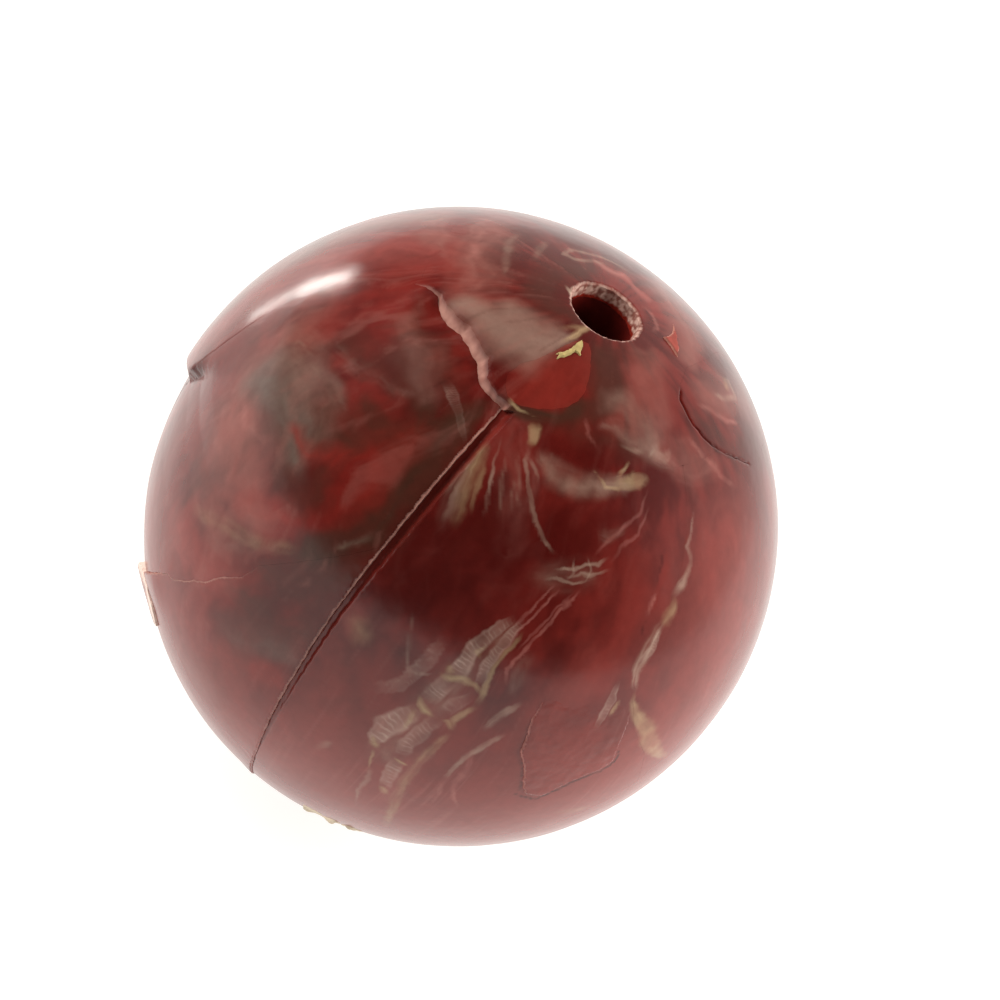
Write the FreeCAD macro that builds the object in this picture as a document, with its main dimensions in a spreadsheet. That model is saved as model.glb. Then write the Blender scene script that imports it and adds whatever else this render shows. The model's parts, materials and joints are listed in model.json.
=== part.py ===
import FreeCAD, Part

import math
import os

import Sketcher

# A marbled ball with a solid core and a moulded cover. The cover is a crown round the bore
# and six gores below it, each bounded by meridians of the bore's axis. It has come apart
# along those seams: one gore has sunk and broken in two, and small pieces have lifted.
#
# Frame: millimetres, origin at the ball's centre, +Z out of the bore's mouth. A direction
# is a longitude and a latitude in degrees: longitude 0 is -Y and grows towards +X, and
# latitude 90 is +Z.

# Driving dimensions: lengths in mm, angles in degrees.
SIZES = {
    "ball_radius": 28.575,      # a 2 1/4 in ball
    "core_radius": 27.0,
    "bed_gap": 0.02,            # between the core and the cover that lies on it
    "seam_gap": 0.06,           # across a closed seam
    "sunk_radius": 28.0,        # outside of the gore that has sunk
    "bore_radius": 3.175,       # a 1/4 in bore
    "bore_depth": 19.05,        # 3/4 in, from the ball's surface to the bore's corner
    "drill_point": 118.0,
    "crown_edge": 58.8,         # latitude where the crown ends and the gores begin
    "crack_half_width": 0.7,    # of the open crack, as an angle at the centre
    "seam_step": -74.5,         # longitudes of the seams between gores
    "seam_crack": -9.5,
    "seam_front_right": 50.0,
    "seam_right_back": 112.0,
    "seam_back": 172.0,
    "seam_back_left": -137.0,
    "flake_thickness": 0.35,    # of a piece that has lifted onto the surface
    "flap_thickness": 0.6,
    "chip_thickness": 0.25,
}

# Where the sunk gore has broken in two: two directions on the break's great circle.
BREAK_LOWER = (-50.0, -22.0)
BREAK_UPPER = (-27.0, 6.0)

# Outlines of the smaller pieces, as (longitude, latitude) corners.
ROUND_PATCH = [
    (-18, 64), (-14, 61.8), (-10, 60.6), (-2.5, 62), (8, 65.7), (13.5, 69.5), (14, 73),
    (9, 78), (-4, 80), (-13, 74),
]
SCALE_PLATE = [
    (76, 70), (75.5, 65.5), (80, 60.3), (91, 54.5), (104, 48.5), (117, 46), (135, 51),
    (134, 60), (118, 68), (96, 73),
]
TOP_SLIVER = [(-140, 52), (-130, 55.5), (-115, 55), (-100, 57), (-104, 64), (-124, 65), (-141, 60)]
TONGUE_FLAKE = [
    (31, 19.5), (29.8, 13), (31, 5), (34, 1), (36.5, -4), (40, -5), (45, 0), (50, 4.2),
    (51.8, 8), (50.5, 12), (49.4, 17),
]
EDGE_FLAP = [(-50, -20), (-57, -25), (-60, -33), (-57, -40), (-51, -36), (-49, -28)]
TRIANGLE_FLAKE = [(100, 75), (112, 78), (125, 75.5)]
YELLOW_CHIP = [(-9, 76.5), (-6, 73), (-3.5, 75), (0, 73.5), (-1, 77), (-6, 78)]
BASE_FLAKES = [
    [(6, -43), (11, -44.5), (12, -49), (7, -48)],
    [(13, -45), (18, -44), (19, -49), (13, -50)],
    [(20, -44), (26, -43.5), (25, -48), (21, -48.5)],
]

doc = FreeCAD.newDocument("ball")
sheet = doc.addObject("Spreadsheet::Sheet", "Sizes")
for row, (alias, value) in enumerate(SIZES.items(), start=1):
    sheet.set(f"A{row}", alias)
    sheet.set(f"B{row}", str(value))
    sheet.setAlias(f"B{row}", alias)
doc.recompute()


def size(alias):
    """The value of one cell of the sheet."""
    return float(sheet.get(alias))


# Formulas that more than one sub-part uses.
HALF_SEAM = "Sizes.seam_gap / Sizes.ball_radius * 90 / pi"
COVER_INNER = "Sizes.core_radius + Sizes.bed_gap"

# How far, in degrees, a small piece's blank reaches past its outline.
RIM_SPARE = 3


def direction(lon, lat):
    """The unit vector of a longitude and latitude."""
    azimuth = math.radians(lon - 90)
    height = math.radians(lat)
    flat = math.cos(height)
    return FreeCAD.Vector(flat * math.cos(azimuth), flat * math.sin(azimuth), math.sin(height))


def facing(up):
    """The rotation that turns +Z to the vector up and leaves X level."""
    east = FreeCAD.Vector(0, 0, 1).cross(up).normalize()
    return FreeCAD.Rotation(east, up.cross(east), up, "ZXY")


def origin_plane(body, role):
    """One of a body's own origin planes."""
    return next(f for f in body.Origin.OriginFeatures if f.Role == role)


def new_sketch(body, name, role="XY_Plane", turn=FreeCAD.Rotation()):
    """A sketch on one of the body's origin planes, turned about its origin."""
    sketch = body.newObject("Sketcher::SketchObject", f"{body.Name}_{name}")
    sketch.AttachmentSupport = (origin_plane(body, role), [""])
    sketch.MapMode = "FlatFace"
    sketch.AttachmentOffset = FreeCAD.Placement(FreeCAD.Vector(), turn)
    return sketch


def new_body(name, rotation=FreeCAD.Rotation()):
    """A body for one sub-part, turned about the ball's centre."""
    body = doc.addObject("PartDesign::Body", name)
    body.Label = name
    body.Placement = FreeCAD.Placement(FreeCAD.Vector(), rotation)
    return body


def bind(sketch, name, formula):
    """Gives the sketch's last constraint a name and a formula of the sheet's cells."""
    sketch.renameConstraint(sketch.ConstraintCount - 1, name)
    sketch.setExpression(f"Constraints.{name}", formula)


def shell_profile(body, inner, outer, lat_low, lat_high):
    """A sketch of a shell's section: two arcs about the centre and the two ends between them.

    inner and outer are the arcs' radii, and lat_low and lat_high the ends' latitudes, all
    formulas of the sheet's cells.
    """
    sketch = new_sketch(body, "section", "XZ_Plane")
    axis = FreeCAD.Vector(0, 0, 1)
    start, end = math.radians(-20), math.radians(20)
    arcs = []
    for name, formula, radius in (("inner", inner, 20), ("outer", outer, 30)):
        circle = Part.Circle(FreeCAD.Vector(), axis, radius)
        arc = sketch.addGeometry(Part.ArcOfCircle(circle, start, end))
        sketch.addConstraint(Sketcher.Constraint("Coincident", arc, 3, -1, 1))
        sketch.addConstraint(Sketcher.Constraint("Radius", arc, radius))
        bind(sketch, f"{name}_radius", formula)
        arcs.append(arc)
    for name, formula, end_point, angle in (("low", lat_low, 1, start), ("high", lat_high, 2, end)):
        along = FreeCAD.Vector(math.cos(angle), math.sin(angle), 0)
        line = sketch.addGeometry(Part.LineSegment(along * 20, along * 30))
        sketch.addConstraint(Sketcher.Constraint("Coincident", line, 1, arcs[0], end_point))
        sketch.addConstraint(Sketcher.Constraint("Coincident", line, 2, arcs[1], end_point))
        sketch.addConstraint(Sketcher.Constraint("PointOnObject", -1, 1, line))
        sketch.addConstraint(Sketcher.Constraint("Angle", line, angle))
        bind(sketch, f"{name}_end", f"({formula}) * 1 deg")
    return sketch


def revolve(body, sketch, sweep):
    """Revolves the section about the body's Z axis, half of the sweep to each side."""
    revolution = body.newObject("PartDesign::Revolution", f"{body.Name}_shell")
    revolution.Profile = sketch
    revolution.ReferenceAxis = (sketch, ["V_Axis"])
    revolution.Midplane = True
    revolution.setExpression("Angle", f"({sweep}) * 1 deg")
    sketch.Visibility = False
    return revolution


def pocket_outward(body, sketch, name):
    """Cuts from the sketch's plane, along its normal, past the ball's surface."""
    pocket = body.newObject("PartDesign::Pocket", f"{body.Name}_{name}")
    pocket.Profile = sketch
    pocket.Reversed = True
    pocket.setExpression("Length", "Sizes.ball_radius * 1.5 * 1 mm")
    sketch.Visibility = False
    return pocket


def closed_lines(sketch, corners):
    """Draws a closed outline of straight lines, each held where it is drawn."""
    for first, second in zip(corners, corners[1:] + corners[:1]):
        line = sketch.addGeometry(Part.LineSegment(first, second))
        sketch.addConstraint(Sketcher.Constraint("Block", line))


def flattened(outline, frame_rotation, grow=0.0):
    """The outline's corners seen along frame_rotation's Z axis, moved out by grow."""
    radius = size("ball_radius")
    back = frame_rotation.inverted()
    points = [back.multVec(direction(*corner)) * radius for corner in outline]
    points = [FreeCAD.Vector(p.x, p.y, 0) for p in points]
    area = sum(a.x * b.y - b.x * a.y for a, b in zip(points, points[1:] + points[:1]))
    if area < 0:
        points.reverse()
    grown = []
    for before, here, after in zip(points[-1:] + points[:-1], points, points[1:] + points[:1]):
        first, second = (here - before).normalize(), (after - here).normalize()
        out_first = FreeCAD.Vector(first.y, -first.x, 0)
        out_second = FreeCAD.Vector(second.y, -second.x, 0)
        out = out_first + out_second
        grown.append(here + out * (grow * 2 / out.dot(out)))
    return grown


def middle_of(outline):
    """The direction of an outline's middle."""
    total = FreeCAD.Vector()
    for corner in outline:
        total += direction(*corner)
    return total.normalize()


def opening(body, outline, name):
    """Cuts the opening in a plate that a smaller piece sits in."""
    turn = facing(middle_of(outline))
    sketch = new_sketch(body, name, "XY_Plane", body.Placement.Rotation.inverted() * turn)
    closed_lines(sketch, flattened(outline, turn, size("seam_gap")))
    pocket_outward(body, sketch, f"{name}_opening")


def bore_opening(body):
    """Drills the bore through a plate."""
    sketch = new_sketch(body, "bore")
    circle = sketch.addGeometry(Part.Circle(FreeCAD.Vector(), FreeCAD.Vector(0, 0, 1), 3))
    sketch.addConstraint(Sketcher.Constraint("Coincident", circle, 3, -1, 1))
    sketch.addConstraint(Sketcher.Constraint("Radius", circle, 3))
    bind(sketch, "bore_radius", "Sizes.bore_radius")
    pocket_outward(body, sketch, "bore_opening")


def break_side(body, keep_below):
    """Cuts a plate along the break's great circle and keeps one side of it."""
    across = direction(*BREAK_LOWER).cross(direction(*BREAK_UPPER)).normalize()
    away = across if keep_below else across * -1
    turn = facing(away)
    sketch = new_sketch(body, "break", "XY_Plane", body.Placement.Rotation.inverted() * turn)
    half = size("ball_radius") * 1.2
    corners = [FreeCAD.Vector(x * half, y * half, 0) for x, y in ((-1, -1), (1, -1), (1, 1), (-1, 1))]
    closed_lines(sketch, corners)
    pocket_outward(body, sketch, "break")


def gore(name, seam_from, seam_to, outer, half_from=HALF_SEAM, half_to=HALF_SEAM):
    """A gore of the cover, from the south pole up to the crown.

    It runs from one seam's longitude to another's, less half of each seam's width.
    """
    body = new_body(name)
    middle = f"(({seam_from}) + ({half_from}) + ({seam_to}) - ({half_to})) / 2 - 90"
    turn = f"rotation(vector(0; 0; 1); {middle})"
    body.setExpression("Placement", f"placement(vector(0; 0; 0); {turn})")
    doc.recompute()
    top = f"Sizes.crown_edge - {HALF_SEAM}"
    sketch = shell_profile(body, COVER_INNER, outer, "-90", top)
    revolve(body, sketch, f"({seam_to}) - ({half_to}) - ({seam_from}) - ({half_from})")
    return body


def crown():
    """The cap of the cover round the bore."""
    body = new_body("crown_plate")
    low = f"Sizes.crown_edge + {HALF_SEAM}"
    revolve(body, shell_profile(body, COVER_INNER, "Sizes.ball_radius", low, "90"), "360")
    return body


def piece(name, outline, inner, outer):
    """A small piece of shell inside an outline, between two radii."""
    turn = facing(middle_of(outline))
    body = new_body(name, turn)
    corners = flattened(outline, turn)
    reach = max(corner.Length for corner in corners)
    spread = math.degrees(math.asin(reach / size("ball_radius"))) + RIM_SPARE
    revolve(body, shell_profile(body, inner, outer, str(90 - spread), "90"), "360")
    sketch = new_sketch(body, "outline")
    closed_lines(sketch, corners)
    rim = Part.Circle(FreeCAD.Vector(), FreeCAD.Vector(0, 0, 1), size("ball_radius") * 1.2)
    sketch.addConstraint(Sketcher.Constraint("Block", sketch.addGeometry(rim)))
    pocket_outward(body, sketch, "trim")
    return body


def core():
    """The solid core, with the blind bore drilled down its axis."""
    body = new_body("core")
    profile = new_sketch(body, "section", "XZ_Plane")
    half_turn = Part.ArcOfCircle(
        Part.Circle(FreeCAD.Vector(), FreeCAD.Vector(0, 0, 1), 27), -math.pi / 2, math.pi / 2
    )
    arc = profile.addGeometry(half_turn)
    axis = profile.addGeometry(Part.LineSegment(FreeCAD.Vector(0, 27, 0), FreeCAD.Vector(0, -27, 0)))
    profile.addConstraint(Sketcher.Constraint("Coincident", arc, 3, -1, 1))
    profile.addConstraint(Sketcher.Constraint("Coincident", arc, 2, axis, 1))
    profile.addConstraint(Sketcher.Constraint("Coincident", arc, 1, axis, 2))
    profile.addConstraint(Sketcher.Constraint("PointOnObject", axis, 1, -2))
    profile.addConstraint(Sketcher.Constraint("PointOnObject", axis, 2, -2))
    profile.addConstraint(Sketcher.Constraint("Radius", arc, 27))
    bind(profile, "core_radius", "Sizes.core_radius")
    revolve(body, profile, "360")

    drill = new_sketch(body, "drill", "XZ_Plane")
    corners = [(0, 40), (0, 8.2), (3, 10), (3, 40)]
    points = [FreeCAD.Vector(x, y, 0) for x, y in corners]
    sides = [
        drill.addGeometry(Part.LineSegment(a, b)) for a, b in zip(points, points[1:] + points[:1])
    ]
    for first, second in zip(sides, sides[1:] + sides[:1]):
        drill.addConstraint(Sketcher.Constraint("Coincident", first, 2, second, 1))
    along, point, wall, top = sides
    drill.addConstraint(Sketcher.Constraint("PointOnObject", along, 1, -2))
    drill.addConstraint(Sketcher.Constraint("PointOnObject", along, 2, -2))
    drill.addConstraint(Sketcher.Constraint("Vertical", wall))
    drill.addConstraint(Sketcher.Constraint("Horizontal", top))
    drill.addConstraint(Sketcher.Constraint("Distance", top, 3))
    bind(drill, "bore_radius", "Sizes.bore_radius")
    drill.addConstraint(Sketcher.Constraint("DistanceY", -1, 1, point, 2, 10))
    bind(drill, "bore_corner", "Sizes.ball_radius - Sizes.bore_depth")
    drill.addConstraint(Sketcher.Constraint("DistanceY", -1, 1, wall, 2, 40))
    bind(drill, "above_ball", "Sizes.ball_radius * 1.2")
    drill.addConstraint(Sketcher.Constraint("Angle", point, math.radians(31)))
    bind(drill, "point_slope", "(90 - Sizes.drill_point / 2) * 1 deg")
    groove = body.newObject("PartDesign::Groove", "core_bore")
    groove.Profile = drill
    groove.ReferenceAxis = (drill, ["V_Axis"])
    groove.Angle = 360
    drill.Visibility = False
    return body


core()

crown_plate = crown()
bore_opening(crown_plate)

left_plate = gore(
    "left_plate", "Sizes.seam_step", "Sizes.seam_crack", "Sizes.sunk_radius",
    half_to="Sizes.crack_half_width",
)
break_side(left_plate, keep_below=False)
lower_left_plate = gore(
    "lower_left_plate", "Sizes.seam_step", "Sizes.seam_crack", "Sizes.ball_radius",
    half_to="Sizes.crack_half_width",
)
break_side(lower_left_plate, keep_below=True)
front_plate = gore(
    "front_plate", "Sizes.seam_crack", "Sizes.seam_front_right", "Sizes.ball_radius",
    half_from="Sizes.crack_half_width",
)
right_plate = gore(
    "right_plate", "Sizes.seam_front_right", "Sizes.seam_right_back", "Sizes.ball_radius"
)
back_right_plate = gore(
    "back_right_plate", "Sizes.seam_right_back", "Sizes.seam_back", "Sizes.ball_radius"
)
back_left_plate = gore(
    "back_left_plate", "Sizes.seam_back", "Sizes.seam_back_left + 360", "Sizes.ball_radius"
)
upper_left_plate = gore(
    "upper_left_plate", "Sizes.seam_back_left", "Sizes.seam_step", "Sizes.ball_radius"
)

# Pieces that go through the cover, each in an opening in the plates that it touches.
for name, outline, parents in (
    ("round_patch", ROUND_PATCH, [crown_plate]),
    ("scale_plate", SCALE_PLATE, [crown_plate, right_plate, back_right_plate]),
    ("top_sliver", TOP_SLIVER, [crown_plate, upper_left_plate, back_left_plate]),
):
    piece(name, outline, COVER_INNER, "Sizes.ball_radius")
    for parent in parents:
        opening(parent, outline, name)

# Thin pieces that have lifted onto the outside of the cover.
for name, outline, thickness in (
    ("tongue_flake", TONGUE_FLAKE, "Sizes.flake_thickness"),
    ("edge_flap", EDGE_FLAP, "Sizes.flap_thickness"),
    ("triangle_flake", TRIANGLE_FLAKE, "Sizes.flake_thickness"),
    ("yellow_chip", YELLOW_CHIP, "Sizes.chip_thickness"),
    ("base_flake_left", BASE_FLAKES[0], "Sizes.flap_thickness"),
    ("base_flake_middle", BASE_FLAKES[1], "Sizes.flake_thickness"),
    ("base_flake_right", BASE_FLAKES[2], "Sizes.flake_thickness"),
):
    lies_on = "Sizes.ball_radius + Sizes.bed_gap"
    piece(name, outline, lies_on, f"{lies_on} + {thickness}")

doc.recompute()
for thing in doc.Objects:
    bad = [state for state in thing.State if state in ("Invalid", "Error")]
    if bad:
        raise RuntimeError(f"{thing.Name} is {bad}")

os.makedirs("parts", exist_ok=True)
for body in doc.findObjects("PartDesign::Body"):
    shape = body.Shape
    if shape.isNull() or not shape.isValid():
        raise RuntimeError(f"{body.Label} has no valid shape")
    if len(shape.Solids) != 1:
        raise RuntimeError(f"{body.Label} is {len(shape.Solids)} solids, not one")
    shape.exportStep(f"parts/{body.Label}.step")
    print(f"{body.Label:20s} {shape.Volume:10.2f} mm3  {len(shape.Faces)} faces")
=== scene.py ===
import json
import math

import bpy
import numpy as np
from mathutils import Matrix, Vector


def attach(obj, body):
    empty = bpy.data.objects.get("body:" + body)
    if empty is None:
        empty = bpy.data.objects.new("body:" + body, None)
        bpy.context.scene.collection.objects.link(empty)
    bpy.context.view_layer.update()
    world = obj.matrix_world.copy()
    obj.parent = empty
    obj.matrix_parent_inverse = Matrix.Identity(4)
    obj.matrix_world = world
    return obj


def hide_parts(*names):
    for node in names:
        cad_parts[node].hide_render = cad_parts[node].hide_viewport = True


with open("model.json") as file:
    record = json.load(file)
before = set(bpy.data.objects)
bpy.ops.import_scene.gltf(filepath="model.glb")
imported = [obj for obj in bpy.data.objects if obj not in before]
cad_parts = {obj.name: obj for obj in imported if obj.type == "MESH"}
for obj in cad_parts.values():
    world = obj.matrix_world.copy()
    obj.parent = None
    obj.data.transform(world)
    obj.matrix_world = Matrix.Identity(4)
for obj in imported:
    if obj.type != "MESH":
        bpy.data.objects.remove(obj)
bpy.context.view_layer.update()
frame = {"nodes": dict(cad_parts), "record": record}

# The ball's looks: every plate and flake of the split cover as a closed mesh with its own
# relief, one marbled plastic for all of them, the drilled core under them, and the studio.
#
# Directions are (longitude, latitude) in degrees, as in the CAD model: longitude 0 is -Y and
# grows towards +X, and latitude 90 is +Z, the bore's axis. Lengths are millimetres on the
# ball and metres in Blender.

MM = 0.001
mounts = {mount["name"]: mount for mount in frame["record"]["mounts"]}
BALL = -mounts["ball_rest"]["pos_m"][2] / MM
BORE = mounts["bore"]["dims"]["r_mm"]
CORE = 27.0
BED = CORE + 0.03
DEGREE = math.pi / 180 * BALL     # millimetres on the surface in one degree


# ---------------------------------------------------------------- directions and noise

def direction(lon, lat):
    """Unit vectors of longitudes and latitudes in degrees."""
    azimuth = np.radians(np.asarray(lon, float) - 90)
    height = np.radians(np.asarray(lat, float))
    flat = np.cos(height)
    return np.stack([flat * np.cos(azimuth), flat * np.sin(azimuth), np.sin(height)], -1)


def unit(vectors):
    return vectors / np.linalg.norm(vectors, axis=1)[:, None]


def lon_lat(points):
    """Longitudes, from -180 to 180, and latitudes of unit vectors."""
    lon = np.degrees(np.arctan2(points[:, 1], points[:, 0])) + 90
    lon = (lon + 180) % 360 - 180
    return lon, np.degrees(np.arcsin(np.clip(points[:, 2], -1, 1)))


GRADIENTS = unit(np.random.default_rng(7).normal(size=(256, 3)))
SHUFFLE = np.random.default_rng(11).permutation(256)


def noise(points, scale, seed=0):
    """Smooth gradient noise from about -1 to 1, scale being its cells per unit."""
    place = points * scale + 17.3 * seed + 100
    cell = np.floor(place).astype(np.int64)
    inside = place - cell
    fade = inside ** 3 * (inside * (inside * 6 - 15) + 10)
    total = np.zeros(len(points))
    for corner in range(8):
        step = np.array([corner & 1, corner >> 1 & 1, corner >> 2 & 1])
        x, y, z = ((cell + step) & 255).T
        slope = GRADIENTS[SHUFFLE[(SHUFFLE[(SHUFFLE[x] + y) & 255] + z) & 255]]
        dx, dy, dz = (inside - step).T
        wx, wy, wz = (fade if on else 1 - fade for on, fade in zip(step, fade.T))
        total += wx * wy * wz * (slope[:, 0] * dx + slope[:, 1] * dy + slope[:, 2] * dz)
    return total * 1.6


def layered(points, scale, seed=0, octaves=3, gain=0.5):
    """Noise with finer and finer layers added."""
    total = np.zeros(len(points))
    for octave in range(octaves):
        total += gain ** octave * noise(points, scale * 2 ** octave, seed + octave)
    return total


def smooth(value, low, high):
    """0 below low and 1 above high, with a smooth step between."""
    part = np.clip((value - low) / (high - low), 0, 1)
    return part * part * (3 - 2 * part)


def stroke(points, path):
    """How unit vectors lie to a path of (longitude, latitude, half width in mm, force or 1).

    Returns the distance over the half width, the place along the path in mm, the signed
    distance in mm, positive on the right of the path's direction, and the force there.
    """
    path = np.array([tuple(corner) + (1,) * (4 - len(corner)) for corner in path], float)
    corners = direction(path[:, 0], path[:, 1]) * BALL
    here = points * BALL
    best = np.full(len(points), 1e9)
    along, across, force = np.zeros((3, len(points)))
    gone = 0.0
    for start, end, first, last in zip(corners, corners[1:], path[:, 2:], path[1:, 2:]):
        run = end - start
        length = np.linalg.norm(run)
        part = np.clip((here - start) @ run / length ** 2, 0, 1)
        away = here - (start + part[:, None] * run)
        distance = np.linalg.norm(away, axis=1)
        share = distance / (first[0] + part * (last[0] - first[0]))
        near = share < best
        best = np.where(near, share, best)
        along = np.where(near, gone + part * length, along)
        side = np.cross(run, (start + end) / 2)
        side /= np.linalg.norm(side)
        across = np.where(near, np.sign(away @ side) * distance, across)
        force = np.where(near, first[1] + part * (last[1] - first[1]), force)
        gone += length
    return best, along, across, force


def close_to(points, path):
    """Which unit vectors can lie within the widest part of a path."""
    corners = direction([corner[0] for corner in path], [corner[1] for corner in path])
    middle = corners.mean(axis=0)
    middle /= np.linalg.norm(middle)
    widest = max(corner[2] for corner in path) / BALL
    reach = np.arccos(np.clip(corners @ middle, -1, 1)).max() + 1.2 * widest
    return points @ middle > math.cos(min(reach, math.pi))


# ---------------------------------------------------------------- where the cover has split

# The cover's seams run from the crown to the south pole: each is longitudes by latitude.
SEAM_STEP = [(-90, -79), (-20, -79), (0, -78.5), (4, -76), (8, -73.4), (12, -72), (16, -71.3),
             (22, -71.2), (28, -71.8), (34, -72.6), (42, -74), (50, -74), (62, -70)]
CRACK_LEFT = [(-90, -7.7), (-26, -7.7), (-22, -7.9), (-8, -8.5), (0, -8.8), (12, -9.3), (31, -9.4),
              (52, -9.8), (62, -10.2)]
CRACK_RIGHT = [(-90, -7.6), (-26, -7.6), (-22, -7.2), (0, -7.5), (12, -7.8), (20, -7.7), (30, -7.2),
               (40, -7.0), (53, -6.4), (58.5, -6.0), (64, -6.0)]
SEAM_VEIN = [(-90, 50), (-30, 58), (-5, 64), (5, 59), (12, 52.5), (18, 49.6), (23, 48.3),
             (28, 49.6), (33, 52.2), (38, 54), (45, 57), (54, 60), (62, 62)]
SEAM_RIGHT_BACK = [(-90, 112), (-20, 113), (10, 111), (40, 112.5), (62, 112)]
SEAM_BACK = [(-90, 172), (-10, 171), (25, 173), (62, 172)]
SEAM_BACK_LEFT = [(-90, -137), (0, -138), (30, -136.5), (62, -137)]

# Parallels by longitude: the crown's lower edge, and the crack that broke the left gore.
CROWN_EDGE = [(-180, 58.4), (-160, 59.2), (-140, 58), (-110, 59), (-85, 58.4), (-70, 57.2),
              (-67.5, 56), (-65.5, 58), (-61.5, 59.8), (-56.5, 59.7), (-50, 60.3), (-43.5, 61.8),
              (-36.5, 62), (-29, 61.6), (-22, 59.4), (-14.5, 58.9), (-10, 58.9), (-5, 59.6),
              (1, 61.2), (6, 61.5), (14, 58.4), (24, 56.6), (33, 57.2), (43, 58.8), (60, 59.4),
              (100, 58.6), (140, 59.2), (180, 58.4)]
BREAK = [(-90, -66), (-74, -48), (-60, -32), (-50, -22), (-42, -13), (-40, -12.2), (-37, -9),
         (-35, -6.5), (-32, -3), (-30, 0.5), (-26.5, 4.5), (-25, 9), (-20, 15), (-10, 27)]

# Where the marbling has its finest marks: (longitude, latitude, half width in mm).
FINE_ZONES = [
    [(24, 32, 1.6), (19, 24, 2.2), (17, 15, 3.0), (14, 6, 3.6), (13, -4, 3.4), (16, -20, 2.8)],
    [(36, 56, 1.6), (44, 52, 1.4), (34, 44, 2.0), (28, 40, 2.4), (22, 36, 1.4)],
    [(24, 14, 1.8), (25, 0, 2.2), (25, -12, 1.6)],
    [(-26, 54, 1.2), (-10, 50, 0.8)],
    [(-5, 54, 1.4), (-3, 38, 1.8)],
    [(3, 59, 1.0), (9, 51, 0.8), (20, 43, 0.8)],
    [(44, 22, 0.9), (44, 10, 0.9)],
]

# Outlines of the smaller pieces.
ROUND_PATCH = [(-18, 64), (-15, 62), (-12, 61), (-9, 60.8), (-5, 61.3), (0, 62.6), (5, 64.2),
               (9.5, 66), (12.8, 68), (14.2, 70.5), (14, 73), (12, 76), (9, 78.4), (3, 79.8),
               (-4, 79.4), (-9, 77.5), (-12, 74), (-15, 70), (-18, 67)]
SCALE_PLATE = [(83, 72), (76, 70), (75, 67), (75.5, 65), (77.5, 62.5), (80, 60.3), (86, 57),
               (91, 54.5), (97, 50.8), (104, 48.5), (117, 46), (126, 48), (135, 51), (136, 56),
               (132, 62), (118, 68), (100, 72.5)]
TOP_SLIVER = [(-141, 53), (-136, 53.5), (-130, 56), (-120, 57), (-115, 55.6), (-108, 56),
              (-100, 57.5), (-100, 61), (-108, 64.5), (-124, 65), (-138, 61.5)]
TONGUE = [(31.7, 19.1), (31.1, 15.3), (30.8, 12.2), (31.6, 9), (32.2, 5.1), (34.4, 2.3),
          (36.4, -1.9), (38.1, -4.6), (41.6, -5.1), (43.4, -2.5), (45.2, -0.4), (47.4, 1.3),
          (49.9, 2.7), (51.5, 4.7), (50.8, 8.4)]


def by_latitude(table, lat):
    rows = np.array(table, float)
    return np.interp(lat, rows[:, 0], rows[:, 1])


def beside(lon, lat, table):
    """Millimetres east of a seam that is given as longitudes by latitude."""
    lean = (by_latitude(table, lat + 0.5) - by_latitude(table, lat - 0.5)) * np.cos(np.radians(lat))
    turn = (lon - by_latitude(table, lat) + 180) % 360 - 180
    return turn * np.cos(np.radians(lat)) * DEGREE / np.sqrt(1 + lean ** 2)


def above(lon, lat, table):
    """Millimetres north of a line that is given as latitudes by longitude."""
    rows = np.array(table, float)
    rise = np.interp(lon + 0.5, rows[:, 0], rows[:, 1]) - np.interp(lon - 0.5, rows[:, 0], rows[:, 1])
    slope = rise / np.maximum(np.cos(np.radians(lat)), 0.05)
    return (lat - np.interp(lon, rows[:, 0], rows[:, 1])) * DEGREE / np.sqrt(1 + slope ** 2)


def within(points, outline):
    """Millimetres inside a closed outline, negative outside it."""
    corners = direction(*np.array(outline, float).T)
    up = corners.mean(axis=0)
    up /= np.linalg.norm(up)
    east = np.cross([0, 0, 1], up)
    east /= np.linalg.norm(east)
    frame_axes = np.stack([east, np.cross(up, east)], 1) * BALL
    flat, ring = points @ frame_axes, corners @ frame_axes
    result = -3.0 - BALL * np.arccos(np.clip(points @ up, -1, 1))
    reach = np.arccos(np.clip(corners @ up, -1, 1)).max() + 3 / BALL
    near = np.flatnonzero(points @ up > math.cos(reach))
    flat = flat[near]
    distance = np.full(len(near), 1e9)
    crossings = np.zeros(len(near), int)
    for start, end in zip(ring, np.roll(ring, -1, axis=0)):
        run = end - start
        part = np.clip((flat - start) @ run / (run @ run), 0, 1)
        distance = np.minimum(distance, np.linalg.norm(flat - start - part[:, None] * run, axis=1))
        straddles = (start[1] > flat[:, 1]) != (end[1] > flat[:, 1])
        rise = end[1] - start[1] if end[1] != start[1] else 1e-9
        meets = start[0] + (flat[:, 1] - start[1]) / rise * run[0]
        crossings += straddles & (flat[:, 0] < meets)
    result[near] = np.where(crossings % 2 == 1, distance, -distance)
    return result


def ragged(points, size=0.10, scale=1.3, seed=3):
    """The directions shaken by size mm, so that every broken line is uneven."""
    here = points * BALL
    shake = np.stack([layered(here, scale, seed + 5 * axis) for axis in range(3)], 1)
    return unit(here + shake * size)


# ---------------------------------------------------------------- meshes on the ball

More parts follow.
